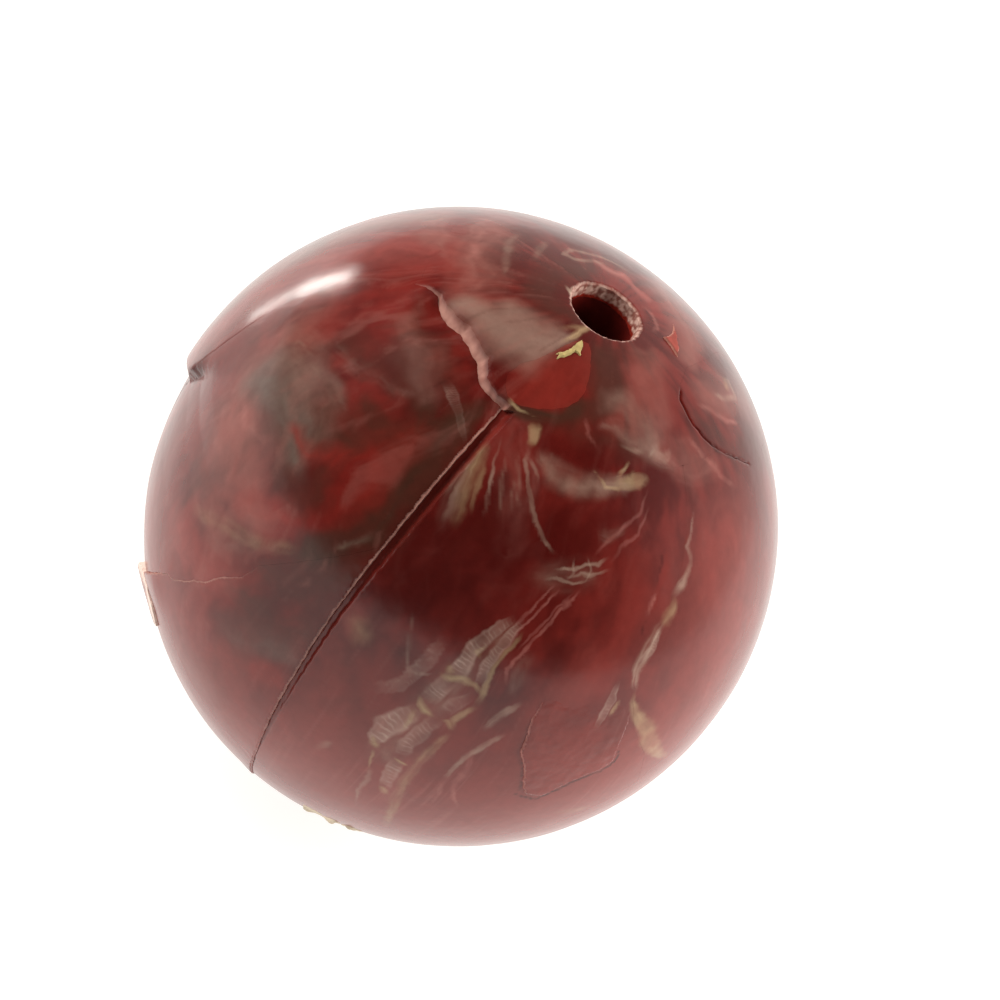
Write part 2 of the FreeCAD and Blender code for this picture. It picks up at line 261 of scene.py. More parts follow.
def ball_net(cells):
    """A triangle net over the unit sphere: an icosahedron, split cells times."""
    golden = (1 + 5 ** 0.5) / 2
    corners = []
    for a in (-1, 1):
        for b in (-golden, golden):
            corners += [(0, a, b), (a, b, 0), (b, 0, a)]
    points = np.array(corners, float)
    points /= np.linalg.norm(points[0])
    gaps = np.linalg.norm(points[:, None] - points[None], axis=2)
    side = gaps[gaps > 0].min() * 1.01
    faces = []
    for a in range(12):
        for b in range(a + 1, 12):
            for c in range(b + 1, 12):
                if max(gaps[a, b], gaps[b, c], gaps[a, c]) < side:
                    turn = np.dot(np.cross(points[b] - points[a], points[c] - points[a]), points[a])
                    faces.append((a, b, c) if turn > 0 else (a, c, b))
    faces = np.array(faces)
    for _ in range(cells):
        points, faces = split(points, faces, lambda middles, lengths: lengths > 0)
    return points, faces


def split(points, faces, wanted):
    """Splits each wanted edge at its middle, and the triangles beside it to match."""
    sides = np.sort(np.concatenate([faces[:, [0, 1]], faces[:, [1, 2]], faces[:, [2, 0]]]), axis=1)
    key = sides[:, 0] * len(points) + sides[:, 1]
    _, first, back = np.unique(key, return_index=True, return_inverse=True)
    edges = sides[first]
    middles = unit(points[edges].mean(axis=1))
    lengths = np.linalg.norm(points[edges[:, 0]] - points[edges[:, 1]], axis=1) * BALL
    chosen = wanted(middles, lengths)
    number = np.full(len(edges), -1)
    number[chosen] = len(points) + np.arange(chosen.sum())
    points = np.concatenate([points, middles[chosen]])
    new = number[back].reshape(3, -1).T          # the middles of sides ab, bc and ca
    count = (new >= 0).sum(axis=1)
    out = [faces[count == 0]]
    # One split side: turn the triangle until it is ab.
    for turn in range(3):
        a, b, c = (np.roll(faces, -turn, axis=1)[:, k] for k in range(3))
        ab, bc, ca = (np.roll(new, -turn, axis=1)[:, k] for k in range(3))
        one = (count == 1) & (ab >= 0)
        out.append(np.stack([a[one], ab[one], c[one]], 1))
        out.append(np.stack([ab[one], b[one], c[one]], 1))
        two = (count == 2) & (ca < 0)
        out.append(np.stack([ab[two], b[two], bc[two]], 1))
        out.append(np.stack([a[two], ab[two], bc[two]], 1))
        out.append(np.stack([a[two], bc[two], c[two]], 1))
    full = count == 3
    a, b, c = faces[full].T
    ab, bc, ca = new[full].T
    out += [np.stack(t, 1) for t in ((a, ab, ca), (ab, b, bc), (ca, bc, c), (ab, bc, ca))]
    return points, np.concatenate(out)


def clip(points, faces, inside):
    """The part of a net where inside is above 0. Returns points, faces and boundary edges."""
    keep = inside > 0
    count = keep[faces].sum(axis=1)
    pieces = [faces[count == 3]]
    cuts = []
    for turn in range(3):
        rolled = np.roll(faces, -turn, axis=1)
        one = rolled[(count == 1) & keep[rolled[:, 0]]]
        two = rolled[(count == 2) & ~keep[rolled[:, 0]]]
        cuts.append((one, two))
    one = np.concatenate([c[0] for c in cuts])
    two = np.concatenate([c[1] for c in cuts])
    pairs = np.concatenate([one[:, [0, 1]], one[:, [0, 2]], two[:, [1, 0]], two[:, [2, 0]]])
    key = pairs[:, 0] * len(points) + pairs[:, 1]      # the kept end comes first
    _, first, back = np.unique(key, return_index=True, return_inverse=True)
    ends = pairs[first]
    share = inside[ends[:, 0]] / (inside[ends[:, 0]] - inside[ends[:, 1]])
    share = np.clip(share, 0.03, 0.97)[:, None]
    fresh = unit(points[ends[:, 0]] * (1 - share) + points[ends[:, 1]] * share)
    number = len(points) + back
    n1, n2 = len(one), len(two)
    o1, o2 = number[:n1], number[n1:2 * n1]
    t1, t2 = number[2 * n1:2 * n1 + n2], number[2 * n1 + n2:]
    pieces.append(np.stack([one[:, 0], o1, o2], 1))
    pieces.append(np.stack([t1, two[:, 1], two[:, 2]], 1))
    pieces.append(np.stack([t1, two[:, 2], t2], 1))
    rims = np.concatenate([np.stack([o1, o2], 1), np.stack([t2, t1], 1)])
    points = np.concatenate([points, fresh])
    faces = np.concatenate(pieces)
    used = np.unique(faces)
    place = np.full(len(points), -1)
    place[used] = np.arange(len(used))
    return points[used], place[faces], place[rims]


def measures(points, shake=0.07):
    """How far, in mm, directions lie to the right side of each line where the cover has split."""
    shaken = ragged(points, shake) if shake else points
    lon, lat = lon_lat(shaken)
    return {
        "step": beside(lon, lat, SEAM_STEP),
        "crack_left": beside(lon, lat, CRACK_LEFT),
        "crack_right": beside(lon, lat, CRACK_RIGHT),
        "vein": beside(lon, lat, SEAM_VEIN),
        "right_back": beside(lon, lat, SEAM_RIGHT_BACK),
        "back": beside(lon, lat, SEAM_BACK),
        "back_left": beside(lon, lat, SEAM_BACK_LEFT),
        "crown": above(lon, lat, CROWN_EDGE),
        "break": above(lon, lat, BREAK),
        "patch": within(shaken, ROUND_PATCH),
        "scale": within(shaken, SCALE_PLATE),
        "sliver": within(shaken, TOP_SLIVER),
        "tongue": within(shaken, TONGUE),
        "bore": np.hypot(shaken[:, 0], shaken[:, 1]) * BALL - MOUTH,
    }


MOUTH = BORE + 0.13               # the broken-out mouth is wider than the drill
HAIR = 0.004                      # half of a closed seam's width
FINE_LINES = ("step", "crack_left", "crack_right", "crown", "break", "patch", "scale", "bore", "vein")
SEEN_SIDES = (0.12, 0.26)         # triangle sides in mm beside those lines and far from them
FINEST_SIDE = 0.10                # in the marbling's finest marks
HIDDEN_SIDE = 0.6                 # on the far side of the ball


def make_net():
    """The net that every plate is cut from: fine where the ball shows its detail."""
    seen_side = direction(-2, 38)

    def wanted(middles, lengths):
        long = np.flatnonzero(lengths > 0.14)
        middles, sides = middles[long], lengths[long]
        lines = measures(middles, 0)
        nearest = np.min([np.abs(lines[name]) for name in FINE_LINES], axis=0)
        target = np.clip(0.11 + 0.11 * nearest, *SEEN_SIDES)
        for path in FINE_ZONES:
            some = np.flatnonzero(close_to(middles, path))
            share = stroke(middles[some], path)[0]
            target[some] = np.where(share < 1, np.minimum(target[some], FINEST_SIDE), target[some])
        target = np.where(middles @ seen_side > -0.12, target, HIDDEN_SIDE)
        chosen = np.zeros(len(lengths), bool)
        chosen[long] = sides > target * 1.4
        return chosen

    points, faces = ball_net(5)
    for _ in range(6):
        points, faces = split(points, faces, wanted)
    return points, faces


NET = make_net()
NET_LINES = measures(NET[0])


def sides_of(name, line):
    """Every side of a plate, in mm inside it."""
    return {
        "crown_plate": [line["crown"], -line["patch"] - HAIR, -line["scale"] - HAIR,
                        -line["sliver"] - HAIR, line["bore"]],
        "round_patch": [line["patch"] - HAIR],
        "scale_plate": [line["scale"] - HAIR],
        "top_sliver": [line["sliver"] - HAIR],
        "left_plate": [-line["crown"] - HAIR, line["step"] - HAIR, -line["crack_left"],
                       line["break"] - HAIR],
        "lower_left_plate": [line["step"] - HAIR, -line["crack_left"], -line["break"] - HAIR],
        "front_plate": [-line["crown"] - HAIR, line["crack_left"] - 0.01, -line["vein"] - HAIR],
        "right_plate": [-line["crown"] - HAIR, line["vein"] - HAIR, -line["right_back"] - HAIR,
                        -line["scale"] - HAIR],
        "back_right_plate": [-line["crown"] - HAIR, line["right_back"] - HAIR, -line["back"] - HAIR,
                             -line["scale"] - HAIR],
        "back_left_plate": [-line["crown"] - HAIR, line["back"] - HAIR, -line["back_left"] - HAIR,
                            -line["sliver"] - HAIR],
        "upper_left_plate": [-line["crown"] - HAIR, line["back_left"] - HAIR, -line["step"] - HAIR,
                             -line["sliver"] - HAIR],
    }[name]


def rounded(distance, width, drop):
    """How far a rounded edge falls at a distance from it: drop at the edge, 0 past width."""
    part = np.clip(1 - distance / width, 0, 1)
    return drop * (1 - np.sqrt(1 - part ** 2 * 0.999))


def swell(points):
    """The ball's slight waviness, which keeps its highlights from looking turned."""
    return 0.035 * layered(points * BALL, 0.12, 21, 2) + 0.006 * layered(points * BALL, 0.8, 25, 2)


def step_depth(lat):
    """How far the left side of the ball has sunk below the upper-left plate's corner."""
    return np.interp(lat, [-45, -20, -6, 4, 9, 14, 24, 34], [0.25, 0.6, 0.95, 1.07, 1.0, 0.6, 0.22, 0.0])


def past_corner(lon, lat):
    """1 below the upper-left plate's broken corner, where both plates have sunk alike."""
    return 1 - smooth(lat - 7 - 0.56 * (lon + 74), -3.4, 0.4)


def crown_relief(lon, line, fine):
    """How far the crown falls at its broken lip and at the bore's mouth, and how bare it is."""
    lip = smooth(lon, -69, -60) * (1 - smooth(lon, -10.5, -8))
    width = 0.45 + 0.90 * smooth(lon, -64, -52) * (1 - 0.5 * smooth(lon, -30, -14)) + 0.05 * fine
    depth = 0.30 + 0.55 * smooth(lon, -66, -50) * (1 - 0.35 * smooth(lon, -32, -14))
    slope = 1 - smooth(line["crown"], 0, width)
    rim = np.clip(1 - (line["bore"] + 0.07 * fine) / 0.30, 0, 1)
    drop = lip * depth * slope * (1 + 0.02 * fine) + 0.22 * rim ** 2
    return drop, np.maximum(0.9 * lip * smooth(slope, 0.05, 0.9), smooth(rim, 0.15, 0.7))


def under_lip_relief(lon, line):
    """How far the left plate dips below the crown's lip, less its ridge along the break."""
    under_lip = smooth(lon, -66, -52) * (1 - 0.45 * smooth(lon, -30, -12))
    dip = 0.85 * under_lip * np.exp(-(np.maximum(-line["crown"], 0) / 3.2) ** 2)
    return dip - 0.05 * np.exp(-(line["break"] / 1.2) ** 2) * (1 - smooth(lon, -42, -36))


def sunken_relief(here, lon, lat, line, fine):
    """How far the left side has sunk beside the step, and its raised, torn edge at the crack."""
    foot = np.interp(lat, [6, 9, 12, 16, 24], [0.3, 0.6, 1.6, 4.0, 7.0])
    away = BALL * np.radians(lon + 75) * np.cos(np.radians(lat))
    sunken = np.maximum(smooth(line["step"], -0.2, foot), past_corner(lon, lat))
    edge = -line["crack_left"]
    chip = 0.17 + 0.08 * fine + 0.07 * noise(here, 0.7, 44)
    torn = 1 - smooth(edge, chip * 0.4, chip)
    drop = step_depth(lat) * sunken * (1 - smooth(away, 2.0, 26))
    drop += 0.10 * torn - 0.14 * np.exp(-(edge / 1.1) ** 2)
    return drop, torn * np.interp(lat, [-24, -8, 12, 30], [0.15, 0.55, 0.7, 0.95])


def broken_edge_relief(points, lon, line, fine):
    """How far the lower left plate rises under the flap, and how bare its broken edge is."""
    tip = stroke(points, [(-56, -27, 1), (-47, -21, 1)])[0]
    torn = 1 - smooth(-line["break"], 0.05, 0.13 + 0.05 * fine)
    bare = 0.8 * torn * smooth(lon, -62, -54) * (1 - smooth(lon, -32, -24))
    return -0.3 * np.exp(-(tip / 2.6) ** 2), bare


def groove_relief(lat, line):
    """How far the front plate falls into the open crack."""
    gap = np.maximum(line["crack_left"] - line["crack_right"], 0.01)
    down = smooth(-line["crack_right"] / gap, -0.15, 0.55)
    return np.minimum(0.9 * gap, np.interp(lat, [-24, -8, 12, 40], [0.06, 0.20, 0.36, 0.55])) * down


def corner_relief(lon, lat, line):
    """How far the upper-left plate falls at its edge and past its broken corner."""
    edge = rounded(-line["step"], 0.35, 0.18) * smooth(step_depth(lat), 0.1, 0.6)
    behind = smooth(-lon, 103, 121)
    return edge + step_depth(lat) * past_corner(lon, lat) * (1 - behind)


def scale_relief(points, line):
    """How far the plates' edges round off along the sharp part of the scale's crack."""
    share = stroke(points, [(77, 69, 1.6), (76, 64.5, 1.6), (83, 58, 1.6), (94, 53.5, 1.6)])[0]
    return rounded(np.abs(line["scale"]), 0.30, 0.14) * (1 - smooth(share, 0.5, 1.0))


def relief(name, points, line):
    """A plate's outer radius, and how bare its surface is where it has chipped."""
    lon, lat = lon_lat(points)
    here = points * BALL
    fine = layered(here, 4.0, 31, 3)
    radius = BALL + swell(points)
    bare = np.zeros(len(points))
    if name == "crown_plate":
        drop, bare = crown_relief(lon, line, fine)
        radius -= drop
    if name == "left_plate":
        radius -= under_lip_relief(lon, line)
    if name in ("left_plate", "lower_left_plate"):
        drop, bare = sunken_relief(here, lon, lat, line, fine)
        radius -= drop
    if name == "lower_left_plate":
        drop, edge_bare = broken_edge_relief(points, lon, line, fine)
        radius -= drop
        bare = np.maximum(bare, edge_bare)
    if name == "front_plate":
        radius -= groove_relief(lat, line)
    if name == "upper_left_plate":
        radius -= corner_relief(lon, lat, line)
    if name in ("scale_plate", "crown_plate", "right_plate"):
        radius -= scale_relief(points, line)
    return radius, bare


def closed_solid(points, faces, rims, top, bottom, rows):
    """A closed mesh of an outer surface, an inner one and the broken walls between them.

    Returns places in mm, faces, the direction each vertex stands for and its depth down the
    wall, from 0 at the outer surface to 1 at the inner one.
    """
    count = len(points)
    places = [points * top[:, None]]
    sources = [np.arange(count)]
    depths = [np.zeros(count)]
    edge = np.unique(rims)
    ring_of = np.full(count, -1)
    ring_of[edge] = np.arange(len(edge))
    starts = [edge]
    total = count
    for row in range(1, rows):
        part = row / rows
        radius = top[edge] * (1 - part) + bottom[edge] * part
        rough = layered(points[edge] * radius[:, None], 3.0, 61, 2)
        inward = 1 + 0.0015 * rough * math.sin(math.pi * part)
        places.append(points[edge] * radius[:, None] * inward[:, None])
        sources.append(edge)
        depths.append(np.full(len(edge), part))
        starts.append(total + np.arange(len(edge)))
        total += len(edge)
    places.append(points * bottom[:, None])
    sources.append(np.arange(count))
    depths.append(np.ones(count))
    starts.append(total + edge)
    out = [faces, faces[:, ::-1] + total]
    first, second = ring_of[rims[:, 0]], ring_of[rims[:, 1]]
    for upper, lower in zip(starts, starts[1:]):
        out.append(np.stack([upper[second], upper[first], lower[first]], 1))
        out.append(np.stack([upper[second], lower[first], lower[second]], 1))
    return np.concatenate(places), np.concatenate(out), np.concatenate(sources), np.concatenate(depths)


CREASE = math.radians(38)         # faces that meet more sharply than this show an edge


def make_object(name, places, faces, paint, layers, material):
    """A Blender mesh in metres, painted point by point, with one more attribute for each layer."""
    mesh = bpy.data.meshes.new(name)
    mesh.vertices.add(len(places))
    mesh.vertices.foreach_set("co", (places * MM).astype(np.float32).ravel())
    mesh.loops.add(faces.size)
    mesh.loops.foreach_set("vertex_index", faces.astype(np.int32).ravel())
    mesh.polygons.add(len(faces))
    mesh.polygons.foreach_set("loop_start", np.arange(0, faces.size, 3, dtype=np.int32))
    mesh.polygons.foreach_set("loop_total", np.full(len(faces), 3, dtype=np.int32))
    mesh.polygons.foreach_set("use_smooth", np.ones(len(faces), dtype=bool))
    mesh.update(calc_edges=True)
    mesh.set_sharp_from_angle(angle=CREASE)
    colours = np.ones((len(places), 4), np.float32)
    colours[:, :3] = paint
    mesh.attributes.new("paint", "FLOAT_COLOR", "POINT").data.foreach_set("color", colours.ravel())
    for layer, values in layers.items():
        attribute = mesh.attributes.new(layer, "FLOAT", "POINT")
        attribute.data.foreach_set("value", values.astype(np.float32))
    mesh.materials.append(material)
    piece = bpy.data.objects.new(name, mesh)
    bpy.context.scene.collection.objects.link(piece)
    return piece


# ---------------------------------------------------------------- the marbling

def linear(code):
    """A colour as linear light, from its six hex digits."""
    parts = np.array([int(code[k:k + 2], 16) for k in (0, 2, 4)]) / 255
    return np.where(parts > 0.04045, ((parts + 0.055) / 1.055) ** 2.4, parts / 12.92)


DEEP = linear("470f0c")
OXBLOOD = linear("661d18")
RED = linear("7c221b")
ROSE = linear("8a3f39")
MAUVE = linear("85524a")
ASH = linear("80655a")
GREEN_ASH = linear("5b5149")
UMBER = linear("432019")
OLIVE = linear("3a231a")
STRAW = linear("b09873")
BONE = linear("b09a88")
PINK = linear("b2736a")
# a dark red used only for painted shadow lines
PAINTED_SHADE = linear("2a0b09")

# Soft clouds and bands: colour, strength, softness, fibres and a path of
# (longitude, latitude, half width in mm, force or 1).
CLOUDS = [
    # the smoky gore left of the open crack
    (MAUVE, 0.25, 1.0, 0.3, [(-72, 24, 6), (-66, 4, 8), (-52, -10, 8)]),
    (MAUVE, 0.45, 1.0, 0.4, [(-66, 38, 4), (-60, 28, 6), (-50, 14, 6), (-42, 6, 4)]),
    (OXBLOOD, 0.65, 1.0, 0.2, [(-70, 20, 4), (-63, 8, 6), (-54, -4, 5)]),
    (UMBER, 0.30, 1.0, 0.4, [(-50, 8, 4), (-40, 10, 3), (-30, 8, 3)]),
    (GREEN_ASH, 0.75, 1.0, 0.2, [(-54, 27, 4.0), (-46, 30, 5.2), (-38, 29, 4.6), (-34, 26, 3.0)]),
    (ASH, 0.35, 1.0, 0.6, [(-58, 33, 3), (-49, 36, 3.6), (-43, 36, 3.6), (-38, 33, 2.6)]),
    (MAUVE, 0.50, 1.0, 0.2, [(-50, 18, 4.0), (-42, 18, 5.0), (-36, 15, 3.6), (-32, 12, 2.2)]),
    (OLIVE, 0.75, 1.0, 0.4, [(-40, 36, 2.4), (-34, 34, 3.2), (-28, 36, 2.8)]),
    (OLIVE, 0.75, 1.0, 0.4, [(-33, 40, 2.0), (-27, 41, 2.8), (-21, 42, 2.4)]),
    (UMBER, 0.80, 1.0, 0.4, [(-54, 44, 2.4), (-45, 46, 3.2), (-37, 48, 3.0), (-28, 49, 2.4)]),
    (RED, 0.25, 1.0, 0.5, [(-48, 41, 1.6), (-42, 42, 1.8), (-37, 44, 1.4)]),
    (RED, 0.55, 1.0, 0.4, [(-38, 29, 1.4), (-33, 30, 2.2), (-26, 33, 2.8), (-22, 39, 2.6),
        (-20, 45, 2.2)]),
    (RED, 0.55, 1.0, 0.3, [(-36, 12, 1.8), (-28, 17, 2.6), (-22, 24, 3.0), (-18, 32, 3.2),
        (-16, 40, 2.2)]),
    (UMBER, 0.75, 1.0, 0.4, [(-34, 22, 1.4), (-29, 21, 2.3), (-26, 26, 2.2), (-27, 29, 1.4)]),
    (DEEP, 0.60, 1.0, 0.3, [(-36, 9, 2.2), (-28, 8, 2.6), (-20, 14, 2.8), (-15, 22, 2.2)]),
    (OLIVE, 0.95, 1.0, 0.3, [(-20, 18, 2.4), (-16, 23, 3.0), (-13, 32, 3.0), (-13, 44, 2.8),
        (-15, 53, 2.4)]),
    (UMBER, 0.70, 1.0, 0.4, [(-22, 10, 2.6), (-16, 14, 3.2), (-12, 22, 2.4)]),
    (UMBER, 0.75, 1.0, 0.4, [(-26, 1, 1.8), (-18, 2, 3.0), (-11, 5, 2.6)]),
    (GREEN_ASH, 0.40, 1.0, 0.4, [(-22, -6, 2.6), (-16, -3, 2.8), (-11, 0, 2.2)]),
    (RED, 0.50, 1.0, 0.4, [(-11, -7, 2.2), (-18, -10, 2.8), (-26, -14, 3.2), (-34, -16, 2.6)]),
    (ROSE, 0.55, 1.0, 0.3, [(-44, -6, 4.0), (-36, -3, 3.8), (-29, 1, 3.0)]),
    (ASH, 0.35, 1.0, 0.5, [(-46, -34, 4.0), (-34, -30, 4.0), (-24, -24, 4.0), (-16, -26, 3.0)]),
    (UMBER, 0.60, 1.0, 0.3, [(-62, 56, 1.4), (-52, 56, 1.8), (-42, 57.5, 1.8), (-32, 57, 1.8),
        (-22, 55, 1.8)]),
    (ASH, 0.30, 1.0, 0.3, [(-52, 53, 2.0), (-44, 53, 3.0), (-36, 53.5, 2.8), (-29, 52, 2.0)]),
    (OLIVE, 0.75, 1.0, 0.4, [(-25, 50, 2.4), (-20, 47, 2.8), (-14, 56, 2.0)]),
    (RED, 0.30, 1.0, 0.3, [(-74, 54, 3.6), (-64, 52, 3.6), (-56, 49, 3.0)]),
    # the upper-left plate
    (ROSE, 0.60, 1.0, 0.3, [(-88, 56, 6), (-84, 42, 6), (-82, 24, 5), (-80, 8, 4)]),
    (ASH, 0.40, 1.0, 0.4, [(-108, 48, 4), (-98, 34, 4), (-90, 18, 4), (-86, 4, 3)]),
    (MAUVE, 0.50, 1.0, 0.5, [(-104, 52, 2.0), (-98, 55, 2.4), (-92, 58, 1.8)]),
    # the crown
    (MAUVE, 0.75, 1.0, 0.4, [(-110, 62, 4.0), (-84, 66, 4.0), (-66, 66, 3.4)]),
    (UMBER, 0.40, 1.0, 0.4, [(-112, 68, 2.4), (-84, 70, 2.6), (-66, 69, 1.8)]),
    (RED, 0.30, 1.0, 0.4, [(-90, 62, 1.8), (-75, 62, 2.0), (-62, 64.5, 1.8), (-50, 67, 1.2)]),
    (ASH, 0.85, 0.9, 0.1, [(-52, 65, 2.2), (-42, 67, 3.4), (-32, 68.5, 4.0), (-23, 70, 3.4),
        (-17, 74, 1.6)]),
    (ASH, 0.60, 1.0, 0.3, [(-44, 72, 2.2), (-28, 74.5, 2.2), (-16, 76, 1.4)]),
    (UMBER, 0.90, 1.0, 0.2, [(-140, 79, 2.0), (-100, 78, 3.0), (-66, 77, 3.2), (-42, 79, 2.6),
        (-28, 81, 1.6)]),
    (OLIVE, 0.80, 1.0, 0.2, [(12, 80, 1.6), (24, 78, 2.8), (27, 73, 2.8), (24, 69, 2.0)]),
    (MAUVE, 0.50, 1.0, 0.4, [(52, 62, 2.4), (62, 60, 3.2), (74, 58, 2.4)]),
    (UMBER, 0.85, 0.8, 0.2, [(20, 82, 1.8), (25, 78, 2.8), (27, 74, 3.0), (25, 70.5, 2.4),
        (21, 67.5, 1.6)]),
    (ASH, 0.45, 1.0, 0.4, [(30, 71, 2.0), (38, 69.5, 2.6), (46, 67.5, 2.6), (50, 64, 2.2)]),
    (MAUVE, 0.45, 0.9, 0.2, [(66, 80, 2.0), (60, 76.5, 3.2), (57, 72.5, 3.2), (56, 68.5, 2.6)]),
    (UMBER, 0.60, 1.0, 0.3, [(34, 82, 1.6), (52, 81, 1.9), (70, 80, 1.5)]),
    (DEEP, 0.85, 0.7, 0.1, [(74, 82, 0.7), (92, 80, 1.3), (108, 79, 1.4), (128, 79.4, 1.2),
        (150, 80.4, 0.6)]),
    (MAUVE, 0.60, 1.0, 0.3, [(160, 68, 4.0), (130, 71, 3.0), (108, 73, 2.0)]),
    (PINK, 0.40, 0.9, 0.3, [(165, 76.5, 0.9), (-175, 76, 1.1), (-160, 76.5, 0.9)]),
    (RED, 0.50, 0.9, 0.2, [(140, 77, 1.1), (160, 76, 1.3), (-178, 76.5, 1.2)]),
    (UMBER, 0.50, 1.0, 0.4, [(78, 66, 2.0), (86, 61, 2.2), (94, 56, 2.2), (104, 51, 1.8)]),
    (MAUVE, 0.50, 1.0, 0.3, [(95, 68, 2.4), (110, 60, 3.6), (120, 53, 3.6)]),
    # under the crown, right of the crack
    # a dark line along the round patch's lower edge: the patch's seam, with the shadow under its edge
    # painted in
    (OLIVE, 0.95, 0.8, 0.1, [(-9, 59.5, 0.8), (-3, 60.0, 1.1), (3, 61.6, 1.3), (9, 63.8, 1.4),
        (15, 66.6, 1.4)]),
    (DEEP, 0.85, 1.0, 0.1, [(8, 59.6, 2.0), (15, 59.6, 3.2), (22, 59.2, 3.0), (27, 58.0, 2.0)]),
    (UMBER, 0.55, 1.0, 0.4, [(18, 64, 2.2), (28, 62.5, 2.6), (38, 61.5, 2.4)]),
    (UMBER, 0.55, 1.0, 0.4, [(36, 62.5, 2.0), (44, 61.5, 2.2), (52, 60, 1.6)]),
    (ASH, 0.45, 1.0, 0.6, [(30, 65.5, 1.1), (40, 64, 1.6), (50, 62.5, 1.8), (55, 60.5, 1.2)]),
    (MAUVE, 0.40, 1.0, 0.7, [(0, 57, 1.8), (3, 52, 3.2), (8, 46, 3.0), (11, 40, 1.8)]),
    (DEEP, 0.70, 1.0, 0.2, [(-4, 40, 5), (4, 32, 8), (14, 38, 8), (24, 46, 6), (34, 50, 4)]),
    (ROSE, 0.50, 1.0, 0.3, [(75, 44, 9), (74, 18, 10), (52, -14, 10), (20, -34, 9)]),
    (ROSE, 0.25, 1.0, 0.5, [(-4, 6, 3.0), (-3, -8, 4.0), (2, -22, 6.0)]),
    (RED, 0.30, 1.0, 0.4, [(44, 36, 4), (38, 24, 5), (34, 8, 5)]),
    (ROSE, 0.30, 1.0, 0.3, [(36, 26, 3), (34, 12, 4), (38, 0, 4)]),
]

